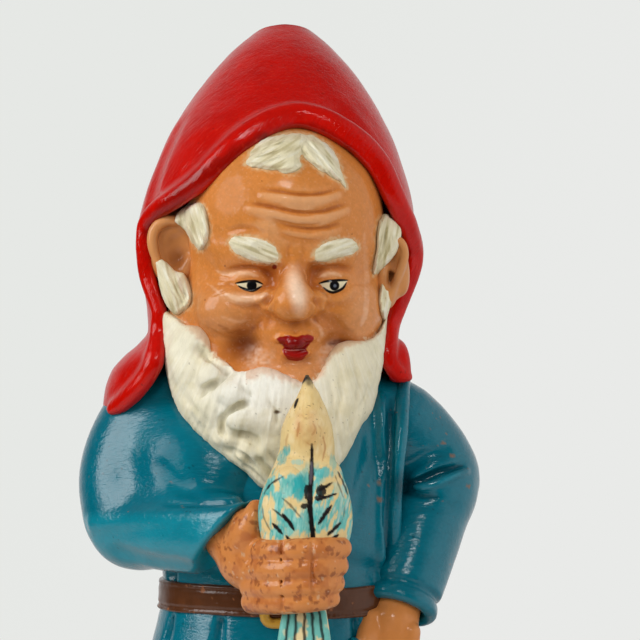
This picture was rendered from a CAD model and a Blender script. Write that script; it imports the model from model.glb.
import bpy, math, time
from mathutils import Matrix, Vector
import numpy as np


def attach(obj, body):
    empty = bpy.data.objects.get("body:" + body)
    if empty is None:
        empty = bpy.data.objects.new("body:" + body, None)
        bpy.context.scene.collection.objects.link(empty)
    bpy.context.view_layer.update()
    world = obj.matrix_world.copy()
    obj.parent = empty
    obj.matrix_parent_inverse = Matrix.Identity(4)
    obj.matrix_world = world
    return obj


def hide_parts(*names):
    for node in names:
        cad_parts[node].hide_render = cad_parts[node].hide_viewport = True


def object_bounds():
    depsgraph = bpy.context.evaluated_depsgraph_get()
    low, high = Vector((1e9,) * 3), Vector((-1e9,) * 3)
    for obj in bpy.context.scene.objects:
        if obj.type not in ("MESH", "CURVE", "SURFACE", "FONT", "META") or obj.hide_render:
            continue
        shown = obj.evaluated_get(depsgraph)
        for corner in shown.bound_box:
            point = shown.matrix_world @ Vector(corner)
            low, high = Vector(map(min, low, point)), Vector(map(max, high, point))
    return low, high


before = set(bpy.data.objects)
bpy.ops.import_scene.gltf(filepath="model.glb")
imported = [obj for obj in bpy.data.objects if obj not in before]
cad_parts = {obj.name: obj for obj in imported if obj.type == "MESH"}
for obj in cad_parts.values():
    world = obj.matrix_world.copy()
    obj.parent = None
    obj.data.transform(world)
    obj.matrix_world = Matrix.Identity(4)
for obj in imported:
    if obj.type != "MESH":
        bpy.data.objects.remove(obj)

import openvdb as vdb

F = np.float32
T0 = time.time()
CAD_BOX = [list(map(float, v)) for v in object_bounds()]
TOP = CAD_BOX[1][2] * 1000.0                      # top of the figure, mm


def note(*a):
    print("[scene %6.1f]" % (time.time() - T0), *a, flush=True)


# =====================================================================================================
# Front elevation drawing.  Squares of half a millimetre, counted right and down; the viewer stands
# 1.2 m in front of the face.  G turns a square and a depth into a place on the figure (mm).
# =====================================================================================================
EYE = np.array([20.0, -1240.0, TOP - 158.5])


def G(a, b, y=-40.0):
    s = (y - EYE[1]) / 2400.0
    return np.array([EYE[0] + (a - 320.0) * s, y, EYE[2] + (320.0 - b) * s])


def proj(P):
    s = 2400.0 / (P[:, 1] - EYE[1])
    return 320.0 + (P[:, 0] - EYE[0]) * s, 320.0 - (P[:, 2] - EYE[2]) * s


def rot(x=0, y=0, z=0):
    x, y, z = [math.radians(v) for v in (x, y, z)]
    cx, sx, cy, sy, cz, sz = math.cos(x), math.sin(x), math.cos(y), math.sin(y), math.cos(z), math.sin(z)
    return (np.array([[cz, -sz, 0], [sz, cz, 0], [0, 0, 1]]) @ np.array([[cy, 0, sy], [0, 1, 0], [-sy, 0, cy]])
            @ np.array([[1, 0, 0], [0, cx, -sx], [0, sx, cx]]))


def c8(r, g, b):
    v = np.array([r, g, b], float) / 255.0
    return np.where(v <= 0.04045, v / 12.92, ((v + 0.055) / 1.055) ** 2.4)


def smooth(x, a, b):
    t = np.clip((x - a) / (b - a), 0, 1)
    return t * t * (3 - 2 * t)


# =====================================================================================================
# Distance fields on a grid: the clay is built up from soft lumps, rolls and grooves, then meshed
# =====================================================================================================
def smin(a, b, k):
    if k <= 0:
        return np.minimum(a, b)
    h = np.clip(0.5 + 0.5 * (b - a) / k, 0, 1)
    return b + (a - b) * h - k * h * (1 - h)


class Ell:
    def __init__(s, c, r, R=None):
        s.c, s.r, s.R = np.array(c, float), np.array(r, float), R
        m = s.r.max() if R is not None else s.r
        s.lo, s.hi = s.c - m, s.c + m

    def __call__(s, X, Y, Z):
        x, y, z = X - F(s.c[0]), Y - F(s.c[1]), Z - F(s.c[2])
        if s.R is not None:
            M = s.R.T.astype(F)
            x, y, z = (M[0, 0] * x + M[0, 1] * y + M[0, 2] * z, M[1, 0] * x + M[1, 1] * y + M[1, 2] * z,
                       M[2, 0] * x + M[2, 1] * y + M[2, 2] * z)
        a, b, c = [F(1.0 / v) for v in s.r]
        k0 = np.sqrt((x * a) ** 2 + (y * b) ** 2 + (z * c) ** 2)
        k1 = np.sqrt((x * a * a) ** 2 + (y * b * b) ** 2 + (z * c * c) ** 2)
        return (k0 * (k0 - 1) / (k1 + F(1e-5))).astype(F)


class Tube:
    """Round bar through points with a radius at each."""
    def __init__(s, pts, rad, flat=None):
        s.p = np.array(pts, float)
        s.q = np.array(rad if hasattr(rad, "__len__") else [rad] * len(s.p), float)
        s.lo, s.hi = s.p.min(0) - s.q.max(), s.p.max(0) + s.q.max()

    def __call__(s, X, Y, Z):
        out = None
        for i in range(len(s.p) - 1):
            a, b = s.p[i], s.p[i + 1]
            d = b - a
            L = float(d @ d) + 1e-9
            x, y, z = X - F(a[0]), Y - F(a[1]), Z - F(a[2])
            t = np.clip((x * F(d[0]) + y * F(d[1]) + z * F(d[2])) / F(L), 0, 1)
            e = np.sqrt((x - t * F(d[0])) ** 2 + (y - t * F(d[1])) ** 2 + (z - t * F(d[2])) ** 2) \
                - (F(s.q[i]) + t * F(s.q[i + 1] - s.q[i]))
            out = e if out is None else np.minimum(out, e)
        return out.astype(F)


def curve(pts, n=6):
    """Smooth curve through the points."""
    p = np.array(pts, float)
    if len(p) < 3:
        t = np.linspace(0, 1, n + 1)[:, None]
        return p[0] * (1 - t) + p[1] * t
    q = np.vstack([2 * p[0] - p[1], p, 2 * p[-1] - p[-2]])
    out = []
    for i in range(1, len(q) - 2):
        for t in np.arange(n) / n:
            out.append(0.5 * ((2 * q[i]) + (q[i + 1] - q[i - 1]) * t
                              + (2 * q[i - 1] - 5 * q[i] + 4 * q[i + 1] - q[i + 2]) * t * t
                              + (3 * q[i] - q[i - 1] - 3 * q[i + 1] + q[i + 2]) * t ** 3))
    out.append(q[-2])
    return np.array(out)


def pchip(x, y, xi):
    x, y = np.array(x, float), np.array(y, float)
    h, dl = np.diff(x), np.diff(y) / np.diff(x)
    d = np.zeros_like(y)
    for i in range(1, len(x) - 1):
        if dl[i - 1] * dl[i] > 0:
            w1, w2 = 2 * h[i] + h[i - 1], h[i] + 2 * h[i - 1]
            d[i] = (w1 + w2) / (w1 / dl[i - 1] + w2 / dl[i])
    d[0], d[-1] = dl[0], dl[-1]
    xi = np.clip(xi, x[0], x[-1])
    k = np.clip(np.searchsorted(x, xi) - 1, 0, len(x) - 2)
    t = (xi - x[k]) / h[k]
    return ((1 + 2 * t) * (1 - t) ** 2 * y[k] + t * (1 - t) ** 2 * h[k] * d[k]
            + t * t * (3 - 2 * t) * y[k + 1] + t * t * (t - 1) * h[k] * d[k + 1])


class Stack:
    """Body through level ellipses: rows of z, centre x, centre y, half width, half depth."""
    def __init__(s, rows, grow=0.0, power=2.0):
        s.rows = np.array(rows, float)
        s.grow, s.power = grow, power

    def at(s, z):
        r = s.rows
        return [pchip(r[:, 0], r[:, i], z) for i in range(1, 5)]

    def __call__(s, X, Y, Z):
        z = np.asarray(Z, float)
        sh = z.shape
        cx, cy, a, b = [v.reshape(sh).astype(F) for v in s.at(z.ravel())]
        a, b = np.maximum(a + F(s.grow), F(0.6)), np.maximum(b + F(s.grow), F(0.6))
        q = ((np.abs(X - cx) / a) ** F(s.power) + (np.abs(Y - cy) / b) ** F(s.power)) ** F(1.0 / s.power)
        return ((q - 1) * np.sqrt(a * b)).astype(F)

    def front(s, x, z):
        cx, cy, a, b = s.at(np.atleast_1d(np.array(z, float)))
        a, b = a + s.grow, b + s.grow
        return cy - b * np.sqrt(np.clip(1 - ((x - cx) / a) ** 2, 0, 1))


class Poly:
    """Outline in x,z pushed along y (for whole-grid use)."""
    def __init__(s, pts):
        s.p = np.array(pts, float)

    def __call__(s, X, Y, Z):
        return (polyd(s.p, X, Z) + 0 * Y).astype(F)


def polyd(p, U, V):
    """Signed distance to a closed outline: negative inside."""
    U, V = np.broadcast_arrays(np.asarray(U, F), np.asarray(V, F))
    best = np.full(U.shape, 1e9, F)
    inside = np.zeros(U.shape, bool)
    n = len(p)
    for i in range(n):
        a, b = p[i], p[(i + 1) % n]
        e = b - a
        wx, wy = U - F(a[0]), V - F(a[1])
        t = np.clip((wx * F(e[0]) + wy * F(e[1])) / F(e @ e + 1e-9), 0, 1)
        best = np.minimum(best, (wx - t * F(e[0])) ** 2 + (wy - t * F(e[1])) ** 2)
        c = ((a[1] <= V) & (b[1] > V)) | ((b[1] <= V) & (a[1] > V))
        if abs(b[1] - a[1]) > 1e-9:
            xc = a[0] + (V - a[1]) / (b[1] - a[1]) * (b[0] - a[0])
            inside ^= c & (U < xc)
    d = np.sqrt(best)
    return np.where(inside, -d, d)


def lined(p, U, V):
    """Distance to an open line, and the length along it at the nearest point."""
    best = np.full(np.shape(U), 1e9, F)
    along = np.zeros(np.shape(U), F)
    side = np.zeros(np.shape(U), F)
    run = 0.0
    for i in range(len(p) - 1):
        a, e = p[i], p[i + 1] - p[i]
        L = math.sqrt(float(e @ e)) + 1e-9
        wx, wy = U - F(a[0]), V - F(a[1])
        t = np.clip((wx * F(e[0]) + wy * F(e[1])) / F(L * L), 0, 1)
        d = np.sqrt((wx - t * F(e[0])) ** 2 + (wy - t * F(e[1])) ** 2)
        m = d < best
        best = np.where(m, d, best)
        along = np.where(m, run + t * L, along)
        side = np.where(m, (wx * F(e[1]) - wy * F(e[0])) / F(L), side)
        run += L
    return best, along, side


_rs = np.random.RandomState(20)
TAB = (_rs.rand(32, 32, 32) * 2 - 1).astype(F)


def noise(P, s=1.0, o=0.0):
    """Smooth noise, -1..1, at points; s is the size of its lumps (a number or three)."""
    q = (np.asarray(P, F) / np.asarray(s, F)) + F(o) * np.array([1.0, 1.7, 2.3], F)
    i = np.floor(q).astype(np.int32)
    f = q - i
    f = f * f * (3 - 2 * f)
    i0, i1 = i & 31, (i + 1) & 31
    x0, y0, z0, x1, y1, z1 = i0[:, 0], i0[:, 1], i0[:, 2], i1[:, 0], i1[:, 1], i1[:, 2]
    fx, fy, fz = f[:, 0], f[:, 1], f[:, 2]
    c00 = TAB[x0, y0, z0] * (1 - fx) + TAB[x1, y0, z0] * fx
    c10 = TAB[x0, y1, z0] * (1 - fx) + TAB[x1, y1, z0] * fx
    c01 = TAB[x0, y0, z1] * (1 - fx) + TAB[x1, y0, z1] * fx
    c11 = TAB[x0, y1, z1] * (1 - fx) + TAB[x1, y1, z1] * fx
    return (c00 * (1 - fy) + c10 * fy) * (1 - fz) + (c01 * (1 - fy) + c11 * fy) * fz


def fbm(P, s, o=0.0, n=3):
    out, amp, tot = 0, 1.0, 0.0
    for k in range(n):
        out = out + amp * noise(P, np.asarray(s) / (2.1 ** k), o + 5.3 * k)
        tot += amp
        amp *= 0.5
    return out / tot


class Vol:
    def __init__(s, lo, hi, h, R=None, t=None):
        s.h = float(h)
        s.R = np.eye(3) if R is None else R
        s.t = np.zeros(3) if t is None else np.array(t, float)
        s.lo = np.array(lo, float)
        s.n = [int(math.ceil((hi[i] - lo[i]) / h)) + 1 for i in range(3)]
        s.ax = [(lo[i] + h * np.arange(s.n[i])).astype(F) for i in range(3)]
        s.d = np.full(s.n, 40.0, F)

    def win(s, lo, hi):
        sl = []
        for i in range(3):
            a = max(0, int(math.floor((lo[i] - s.lo[i]) / s.h)))
            b = min(s.n[i], int(math.ceil((hi[i] - s.lo[i]) / s.h)) + 1)
            if b <= a:
                return None
            sl.append(slice(a, b))
        return (tuple(sl), s.ax[0][sl[0]][:, None, None], s.ax[1][sl[1]][None, :, None], s.ax[2][sl[2]][None, None, :])

    def _op(s, f, k, how, all_):
        if all_ or not hasattr(f, "lo"):
            w = ((slice(None),) * 3, s.ax[0][:, None, None], s.ax[1][None, :, None], s.ax[2][None, None, :])
        else:
            m = max(k, 0) + 2.5 * s.h
            w = s.win(f.lo - m, f.hi + m)
        if w is None:
            return s
        sl, X, Y, Z = w
        e = f(X, Y, Z)
        a = s.d[sl]
        if how == "add":
            s.d[sl] = smin(a, e, k)
        elif how == "cut":
            s.d[sl] = -smin(-a, e, k)
        else:
            s.d[sl] = -smin(-a, -e, k)
        return s

    def add(s, f, k=0.0):
        return s._op(f, k, "add", False)

    def cut(s, f, k=0.0):
        return s._op(f, k, "cut", False)

    def keep(s, f, k=0.0):
        return s._op(f, k, "keep", True)

    def local(s, W):
        return (np.asarray(W, float) - s.t) @ s.R

    def world(s, L):
        return np.asarray(L, float) @ s.R.T + s.t

    def samp(s, L, f=None, lo=None, h=None):
        f = s.d if f is None else f
        lo = s.lo if lo is None else lo
        h = s.h if h is None else h
        q = (np.asarray(L, float) - lo) / h
        n = np.array(f.shape)
        q = np.clip(q, 0, n - 1.001)
        i = q.astype(np.int32)
        w = (q - i).astype(F)
        x, y, z = i[..., 0], i[..., 1], i[..., 2]
        wx, wy, wz = w[..., 0], w[..., 1], w[..., 2]
        c00 = f[x, y, z] * (1 - wx) + f[x + 1, y, z] * wx
        c10 = f[x, y + 1, z] * (1 - wx) + f[x + 1, y + 1, z] * wx
        c01 = f[x, y, z + 1] * (1 - wx) + f[x + 1, y, z + 1] * wx
        c11 = f[x, y + 1, z + 1] * (1 - wx) + f[x + 1, y + 1, z + 1] * wx
        return (c00 * (1 - wy) + c10 * wy) * (1 - wz) + (c01 * (1 - wy) + c11 * wy) * wz

    def grad(s, L):
        e = s.h
        g = np.stack([s.samp(L + np.eye(3)[i] * e) - s.samp(L - np.eye(3)[i] * e) for i in range(3)], -1)
        return g / (np.linalg.norm(g, axis=-1, keepdims=True) + 1e-9)

    def snap(s, ab, y0=-125.0, y1=40.0):
        """Where the drawing squares meet the surface: local points and outward normals."""
        ab = np.atleast_2d(np.array(ab, float))
        ys = np.arange(y0, y1, 0.35)
        sc = (ys - EYE[1]) / 2400.0
        W = np.empty((len(ab), len(ys), 3))
        W[..., 0] = EYE[0] + (ab[:, :1] - 320.0) * sc
        W[..., 1] = ys
        W[..., 2] = EYE[2] + (320.0 - ab[:, 1:]) * sc
        L = s.local(W)
        inside_box = np.all((L >= s.lo) & (L <= s.lo + s.h * (np.array(s.n) - 1)), -1)
        v = np.where(inside_box, s.samp(L), 30.0)
        hit = v < 0
        k = np.where(hit.any(1), hit.argmax(1), v.argmin(1))
        k = np.clip(k, 1, len(ys) - 1)
        r = np.arange(len(ab))
        v1, v0 = v[r, k], v[r, k - 1]
        t = np.clip(v0 / (v0 - v1 + 1e-9), 0, 1)[:, None]
        P = L[r, k - 1] * (1 - t) + L[r, k] * t
        return P, s.grad(P)

    def roll(s, ab, r, high, k=1.5, n=5, taper=True):
        """A raised roll of clay along a line of the drawing."""
        P, N = s.snap(curve(ab, n))
        r = np.interp(np.linspace(0, 1, len(P)), np.linspace(0, 1, len(np.atleast_1d(r))), np.atleast_1d(r)) \
            if hasattr(r, "__len__") else np.full(len(P), float(r))
        if taper:
            u = np.linspace(0, 1, len(P))
            tp = np.sqrt(np.clip(4 * u * (1 - u) + 0.12, 0, 1))
        else:
            tp = np.ones(len(P))
        s.add(Tube(P - N * (r - high * tp)[:, None], r), k)

    def groove(s, ab, r, deep, k=1.0, n=5, taper=True):
        P, N = s.snap(curve(ab, n))
        u = np.linspace(0, 1, len(P))
        tp = np.sqrt(np.clip(4 * u * (1 - u) + 0.05, 0, 1)) if taper else np.ones(len(P))
        s.cut(Tube(P + N * (r - deep * tp)[:, None], np.full(len(P), float(r))), k)

    def lump(s, ab, r, high, k=3.0, R=None):
        P, N = s.snap([ab])
        r = np.array(r if hasattr(r, "__len__") else [r] * 3, float)
        s.add(Ell(P[0] - N[0] * (r[1] - high), r, R), k)

    def dent(s, ab, r, deep, k=3.0, R=None):
        P, N = s.snap([ab])
        r = np.array(r if hasattr(r, "__len__") else [r] * 3, float)
        s.cut(Ell(P[0] + N[0] * (r[1] - deep), r, R), k)

    def ripple(s, func, reach=2.0):
        """Moves the surface out by func(world points) where it is positive."""
        m = np.abs(s.d) < reach
        i = np.argwhere(m)
        L = s.lo + i * s.h
        s.d[m] -= func(s.world(L).astype(F), L.astype(F)).astype(F)

    def soften(s, spots, size=2.0):
        """Blurs the field inside soft ovals of the drawing (a, b, radius a, radius b, strength)."""
        b = s.d.copy()
        for _ in range(max(1, int(round((size / s.h) ** 2)))):
            for ax in range(3):
                p = np.pad(b, [(1, 1) if a == ax else (0, 0) for a in range(3)], mode="edge")
                sl = [slice(None)] * 3
                lo_, mid, hi_ = list(sl), list(sl), list(sl)
                lo_[ax], mid[ax], hi_[ax] = slice(0, -2), slice(1, -1), slice(2, None)
                b = 0.25 * p[tuple(lo_)] + 0.5 * p[tuple(mid)] + 0.25 * p[tuple(hi_)]
        m = np.abs(s.d) < 6
        W = s.world(s.lo + np.argwhere(m) * s.h)
        pa, pb = proj(W)
        w = np.zeros(len(W), F)
        for (ca, cb, ra, rb, st) in spots:
            q = np.sqrt(((pa - ca) / ra) ** 2 + ((pb - cb) / rb) ** 2)
            w = np.maximum(w, st * (1 - smooth(q, 0.55, 1.1)).astype(F))
        w = w * (W[:, 1] < -10)
        s.d[m] = (s.d[m] * (1 - w) + b[m] * w).astype(F)

    def even(s):
        """Scales the field to true distance near the surface."""
        g = np.gradient(s.d, s.h)
        m = np.sqrt(g[0] ** 2 + g[1] ** 2 + g[2] ** 2)
        s.d = (s.d / np.clip(m, 0.25, 4.0)).astype(F)
        return s

    def hollow(s, step=3, size=3.0):
        """How far each place lies in a hollow (+) or on a ridge (-), on a coarse grid."""
        c = np.clip(s.d[::step, ::step, ::step], -8, 8).astype(F)
        b = c.copy()
        h = s.h * step
        n = max(1, int(round((size / h) ** 2)))
        for _ in range(n):
            for ax in range(3):
                p = np.pad(b, [(1, 1) if a == ax else (0, 0) for a in range(3)], mode="edge")
                sl = [slice(None)] * 3
                lo_, mid, hi_ = list(sl), list(sl), list(sl)
                lo_[ax], mid[ax], hi_[ax] = slice(0, -2), slice(1, -1), slice(2, None)
                b = 0.25 * p[tuple(lo_)] + 0.5 * p[tuple(mid)] + 0.25 * p[tuple(hi_)]
        s._hb, s._hh = b, h
        return s

    def hollow_at(s, L):
        return -(s.samp(L, s._hb, s.lo, s._hh) - s.samp(L))

    def mesh(s, relax=2):
        g = vdb.FloatGrid(3.0)
        v = np.clip(s.d / s.h, -3, 3).astype(F)
        v[0], v[-1], v[:, 0], v[:, -1], v[:, :, 0], v[:, :, -1] = 3, 3, 3, 3, 3, 3
        g.copyFromArray(np.ascontiguousarray(v))
        pts, quads = g.convertToQuads(0.0)
        pts, quads = np.asarray(pts, float), np.asarray(quads, np.int64)
        L = s.lo + pts * s.h
        L, quads = biggest(L, quads, s.h)
        if relax:
            e = np.vstack([quads[:, [0, 1]], quads[:, [1, 2]], quads[:, [2, 3]], quads[:, [3, 0]]])
            cnt = np.bincount(e.ravel(), minlength=len(L)).astype(float)[:, None]
            for _ in range(relax):
                sm = np.zeros_like(L)
                for c in range(3):
                    sm[:, c] = np.bincount(e[:, 0], L[e[:, 1], c], len(L)) + np.bincount(e[:, 1], L[e[:, 0], c], len(L))
                L = L * 0.45 + 0.55 * sm / cnt
            n = s.grad(L)
            L = L - n * np.clip(s.samp(L), -0.4 * s.h, 0.4 * s.h)[:, None] * 0.7
        return L, quads


def biggest(P, Q, h):
    """Drops crumbs: keeps pieces of at least 3 % of the largest."""
    n = len(P)
    lab = np.arange(n)
    e = np.vstack([Q[:, [0, 1]], Q[:, [1, 2]], Q[:, [2, 3]]])
    for _ in range(200):
        new = lab.copy()
        np.minimum.at(new, e[:, 0], lab[e[:, 1]])
        np.minimum.at(new, e[:, 1], lab[e[:, 0]])
        new = new[new]
        new = new[new]
        if np.array_equal(new, lab):
            break
        lab = new
    cnt = np.bincount(lab, minlength=n)
    ok = cnt[lab] >= 0.03 * cnt.max()
    if ok.all():
        return P, Q
    idx = np.cumsum(ok) - 1
    Q = Q[ok[Q].all(1)]
    return P[ok], idx[Q]


# =====================================================================================================
# Pieces
# =====================================================================================================
PIECES = {}


def piece(name, node, vol, paint, mat, relax=2):
    """Meshes a volume, paints its vertices and hands the piece over for one CAD node (or a list)."""
    L, Q = vol.mesh(relax)
    W = vol.world(L)
    N = vol.grad(L) @ vol.R.T
    vol.hollow(step=max(1, int(round(1.5 / vol.h))), size=2.6)
    hol = vol.hollow_at(L)
    a, b = proj(W)
    col = paint(dict(W=W.astype(F), N=N, a=a, b=b, hol=hol, L=L.astype(F)))
    obj = to_mesh(name, W, Q, col, mat)
    nodes = [node] if isinstance(node, str) else node
    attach(obj, "root")
    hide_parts(*nodes)
    PIECES[name] = obj
    note(name, "verts", len(W), "quads", len(Q))
    return obj


def to_mesh(name, W, Q, col, mat):
    me = bpy.data.meshes.new(name)
    me.vertices.add(len(W))
    me.vertices.foreach_set("co", (W * 0.001).astype(F).ravel())
    me.loops.add(len(Q) * 4)
    me.loops.foreach_set("vertex_index", Q.astype(np.int32).ravel())
    me.polygons.add(len(Q))
    me.polygons.foreach_set("loop_start", (np.arange(len(Q)) * 4).astype(np.int32))
    me.polygons.foreach_set("loop_total", np.full(len(Q), 4, np.int32))
    me.update(calc_edges=True)
    me.polygons.foreach_set("use_smooth", np.ones(len(Q), bool))
    at = me.color_attributes.new("Paint", "FLOAT_COLOR", "POINT")
    at.data.foreach_set("color", np.concatenate([np.clip(col[:, :3], 0, 1), col[:, 3:4] if col.shape[1] > 3
                                                 else np.ones((len(col), 1))], 1).astype(F).ravel())
    me.color_attributes.active_color = at
    me.validate()
    obj = bpy.data.objects.new(name, me)
    bpy.context.scene.collection.objects.link(obj)
    obj.data.materials.append(mat)
    # quads out of the mesher may face inwards: turn them so that normals point out of the clay
    bm_flip(obj)
    return obj


def bm_flip(obj):
    me = obj.data
    n = len(me.vertices)
    co = np.zeros(n * 3, F)
    me.vertices.foreach_get("co", co)
    co = co.reshape(-1, 3).astype(float)
    nl = len(me.loops)
    vi = np.zeros(nl, np.int32)
    me.loops.foreach_get("vertex_index", vi)
    q = vi.reshape(-1, 4)
    v = np.einsum("ij,ij->i", co[q[:, 0]], np.cross(co[q[:, 1]], co[q[:, 2]])).sum() \
        + np.einsum("ij,ij->i", co[q[:, 0]], np.cross(co[q[:, 2]], co[q[:, 3]])).sum()
    if v < 0:
        me.flip_normals()


# =====================================================================================================
# Paint: gloss oil paint over fired clay.  The vertex colour "Paint" holds the brushed colour; its
# fourth channel is how thick the gloss is (1 glossy, 0 worn down to the clay).
# =====================================================================================================
class NT:
    def __init__(s, mat):
        s.t = mat.node_tree
        s.n, s.l = s.t.nodes, s.t.links

    def new(s, kind, **kw):
        n = s.n.new(kind)
        for k, v in kw.items():
            if k in n.inputs:
                n.inputs[k].default_value = v
            else:
                setattr(n, k, v)
        return n

    def link(s, a, b):
        s.l.new(a, b)

    def noise(s, vec, scale, detail=3.0, rough=0.55, dist=0.0):
        n = s.n.new("ShaderNodeTexNoise")
        n.inputs["Scale"].default_value = scale
        n.inputs["Detail"].default_value = detail
        n.inputs["Roughness"].default_value = rough
        n.inputs["Distortion"].default_value = dist
        s.link(vec, n.inputs["Vector"])
        return n.outputs["Fac"]

    def math(s, op, a, b=None, clamp=False):
        n = s.n.new("ShaderNodeMath")
        n.operation, n.use_clamp = op, clamp
        for i, v in enumerate((a, b)):
            if v is None:
                continue
            if isinstance(v, (int, float)):
                n.inputs[i].default_value = v
            else:
                s.link(v, n.inputs[i])
        return n.outputs[0]

    def ramp(s, v, a, b, lo=0.0, hi=1.0):
        n = s.n.new("ShaderNodeMapRange")
        n.interpolation_type = "SMOOTHSTEP"
        for i, x in enumerate((a, b, lo, hi)):
            n.inputs[i + 1].default_value = x
        s.link(v, n.inputs[0])
        return n.outputs[0]

    def mix(s, f, a, b, kind="MIX"):
        n = s.n.new("ShaderNodeMix")
        n.data_type, n.blend_type = "RGBA", kind
        for sock, v in ((n.inputs[0], f), (n.inputs[6], a), (n.inputs[7], b)):
            if isinstance(v, (int, float)):
                sock.default_value = v
            elif isinstance(v, (tuple, list)):
                sock.default_value = (*v[:3], 1)
            else:
                s.link(v, sock)
        return n.outputs[2]


def paint_mat(name, rough=0.32, coat=0.8, coat_rough=0.12, mottle=0.10, brush=(1.0, 1.0, 0.25), brush_scale=900.0,
              brush_high=0.00012, orange=0.00005, pits=0.35, dirt=(0.09, 0.045, 0.02), dirt_amount=0.5, spec=0.08, lean=0.0):
    mat = bpy.data.materials.new(name)
    mat.use_nodes = True
    t = NT(mat)
    t.n.clear()
    out = t.new("ShaderNodeOutputMaterial")
    bs = t.n.new("ShaderNodeBsdfPrincipled")
    t.link(bs.outputs[0], out.inputs[0])
    tc = t.n.new("ShaderNodeTexCoord")
    obj = tc.outputs["Object"]
    at = t.n.new("ShaderNodeVertexColor")
    at.layer_name = "Paint"
    base, gloss = at.outputs["Color"], at.outputs["Alpha"]
    mp = t.n.new("ShaderNodeMapping")
    mp.vector_type = "TEXTURE"
    mp.inputs["Scale"].default_value = tuple(1 / s for s in brush)
    mp.inputs["Rotation"].default_value = (0.0, lean, 0.0)
    t.link(obj, mp.inputs["Vector"])
    br = t.noise(mp.outputs[0], brush_scale, 3.0, 0.6, 0.4)             # brush marks
    cloud = t.noise(obj, 70.0, 4.0, 0.6)                                # uneven film
    fine = t.noise(obj, 520.0, 3.0, 0.6)
    v = t.n.new("ShaderNodeTexVoronoi")                                 # pinholes in the film
    v.inputs["Scale"].default_value = 260.0
    t.link(obj, v.inputs["Vector"])
    hole = t.ramp(v.outputs["Distance"], 0.05, 0.12, 1.0, 0.0)
    where = t.ramp(t.noise(obj, 45.0, 2.0), 0.60 - 0.12 * pits, 0.72)
    hole = t.math("MULTIPLY", hole, where)
    hole = t.math("MULTIPLY", hole, pits)
    # colour
    shade = t.math("ADD", t.math("MULTIPLY", t.math("SUBTRACT", cloud, 0.5), 2.2 * mottle),
                   t.math("MULTIPLY", t.math("SUBTRACT", br, 0.5), 2.0 * mottle))
    shade = t.math("ADD", shade, 1.0)
    n = t.n.new("ShaderNodeVectorMath")
    n.operation = "SCALE"
    t.link(base, n.inputs[0])
    t.link(shade, n.inputs["Scale"])
    col = n.outputs[0]
    col = t.mix(t.math("MULTIPLY", hole, dirt_amount), col, dirt)
    t.link(col, bs.inputs["Base Color"])
    # finish
    r = t.math("ADD", rough, t.math("MULTIPLY", t.math("SUBTRACT", fine, 0.5), 0.22))
    r = t.math("ADD", r, t.math("MULTIPLY", t.math("SUBTRACT", 1.0, gloss), 0.4), True)
    t.link(r, bs.inputs["Roughness"])
    bs.inputs["Specular IOR Level"].default_value = spec
    t.link(t.math("MULTIPLY", gloss, coat), bs.inputs["Coat Weight"])
    cr = t.math("ADD", coat_rough, t.math("MULTIPLY", t.math("SUBTRACT", cloud, 0.45), 0.16), True)
    t.link(cr, bs.inputs["Coat Roughness"])
    bs.inputs["Coat IOR"].default_value = 1.5
    # relief
    hgt = t.math("ADD", t.math("MULTIPLY", br, brush_high), t.math("MULTIPLY", t.noise(obj, 300.0, 2.0), orange))
    hgt = t.math("SUBTRACT", hgt, t.math("MULTIPLY", hole, 0.00025))
    hgt = t.math("ADD", hgt, t.math("MULTIPLY", t.noise(obj, 90.0, 2.0), 0.00016))
    bp = t.n.new("ShaderNodeBump")
    bp.inputs["Strength"].default_value = 1.0
    bp.inputs["Distance"].default_value = 1.0
    t.link(hgt, bp.inputs["Height"])
    t.link(bp.outputs[0], bs.inputs["Normal"])
    t.link(bp.outputs[0], bs.inputs["Coat Normal"])
    return mat


M_RED = paint_mat("red_gloss_paint", rough=0.40, coat=0.64, coat_rough=0.10, mottle=0.16, brush=(1, 1, 0.22),
                  brush_scale=640, brush_high=0.00027, pits=0.25, dirt_amount=0.55, spec=0.02, lean=0.6)
M_TEAL = paint_mat("blue_gloss_paint", rough=0.38, coat=0.95, coat_rough=0.11, mottle=0.17, brush=(0.25, 1, 1),
                   brush_scale=700, brush_high=0.00026, pits=0.6, dirt=(0.28, 0.12, 0.05), dirt_amount=0.6, spec=0.02)
M_SKIN = paint_mat("skin_gloss_paint", rough=0.42, coat=0.50, coat_rough=0.14, mottle=0.05, brush=(0.5, 1, 1),
                   brush_scale=500, brush_high=0.00006, orange=0.00004, pits=0.12, dirt=(0.16, 0.04, 0.01))
M_CREAM = paint_mat("white_hair_paint", rough=0.5, coat=0.25, coat_rough=0.3, mottle=0.10, brush=(1, 1, 0.3),
                    brush_scale=1100, brush_high=0.00016, pits=0.35, dirt=(0.16, 0.10, 0.05), dirt_amount=0.6)
M_BIRD = paint_mat("bird_paint", rough=0.42, coat=0.4, coat_rough=0.22, mottle=0.09, brush=(1, 1, 0.4),
                   brush_scale=800, brush_high=0.00012, pits=0.5, dirt=(0.16, 0.08, 0.03), dirt_amount=0.7)
M_BROWN = paint_mat("brown_gloss_paint", rough=0.36, coat=0.7, coat_rough=0.16, mottle=0.16, brush=(1, 1, 0.3),
                    brush_scale=420, brush_high=0.00012, pits=0.4, dirt=(0.32, 0.14, 0.06), dirt_amount=0.4)
M_OCHRE = paint_mat("ochre_paint", rough=0.4, coat=0.5, coat_rough=0.2, mottle=0.12, pits=0.4, dirt_amount=0.6)
M_GREEN = paint_mat("green_paint", rough=0.5, coat=0.35, coat_rough=0.25, mottle=0.2, brush=(1, 1, 1),
                    brush_scale=260, pits=0.5, dirt=(0.2, 0.1, 0.04), dirt_amount=0.6)

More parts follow.
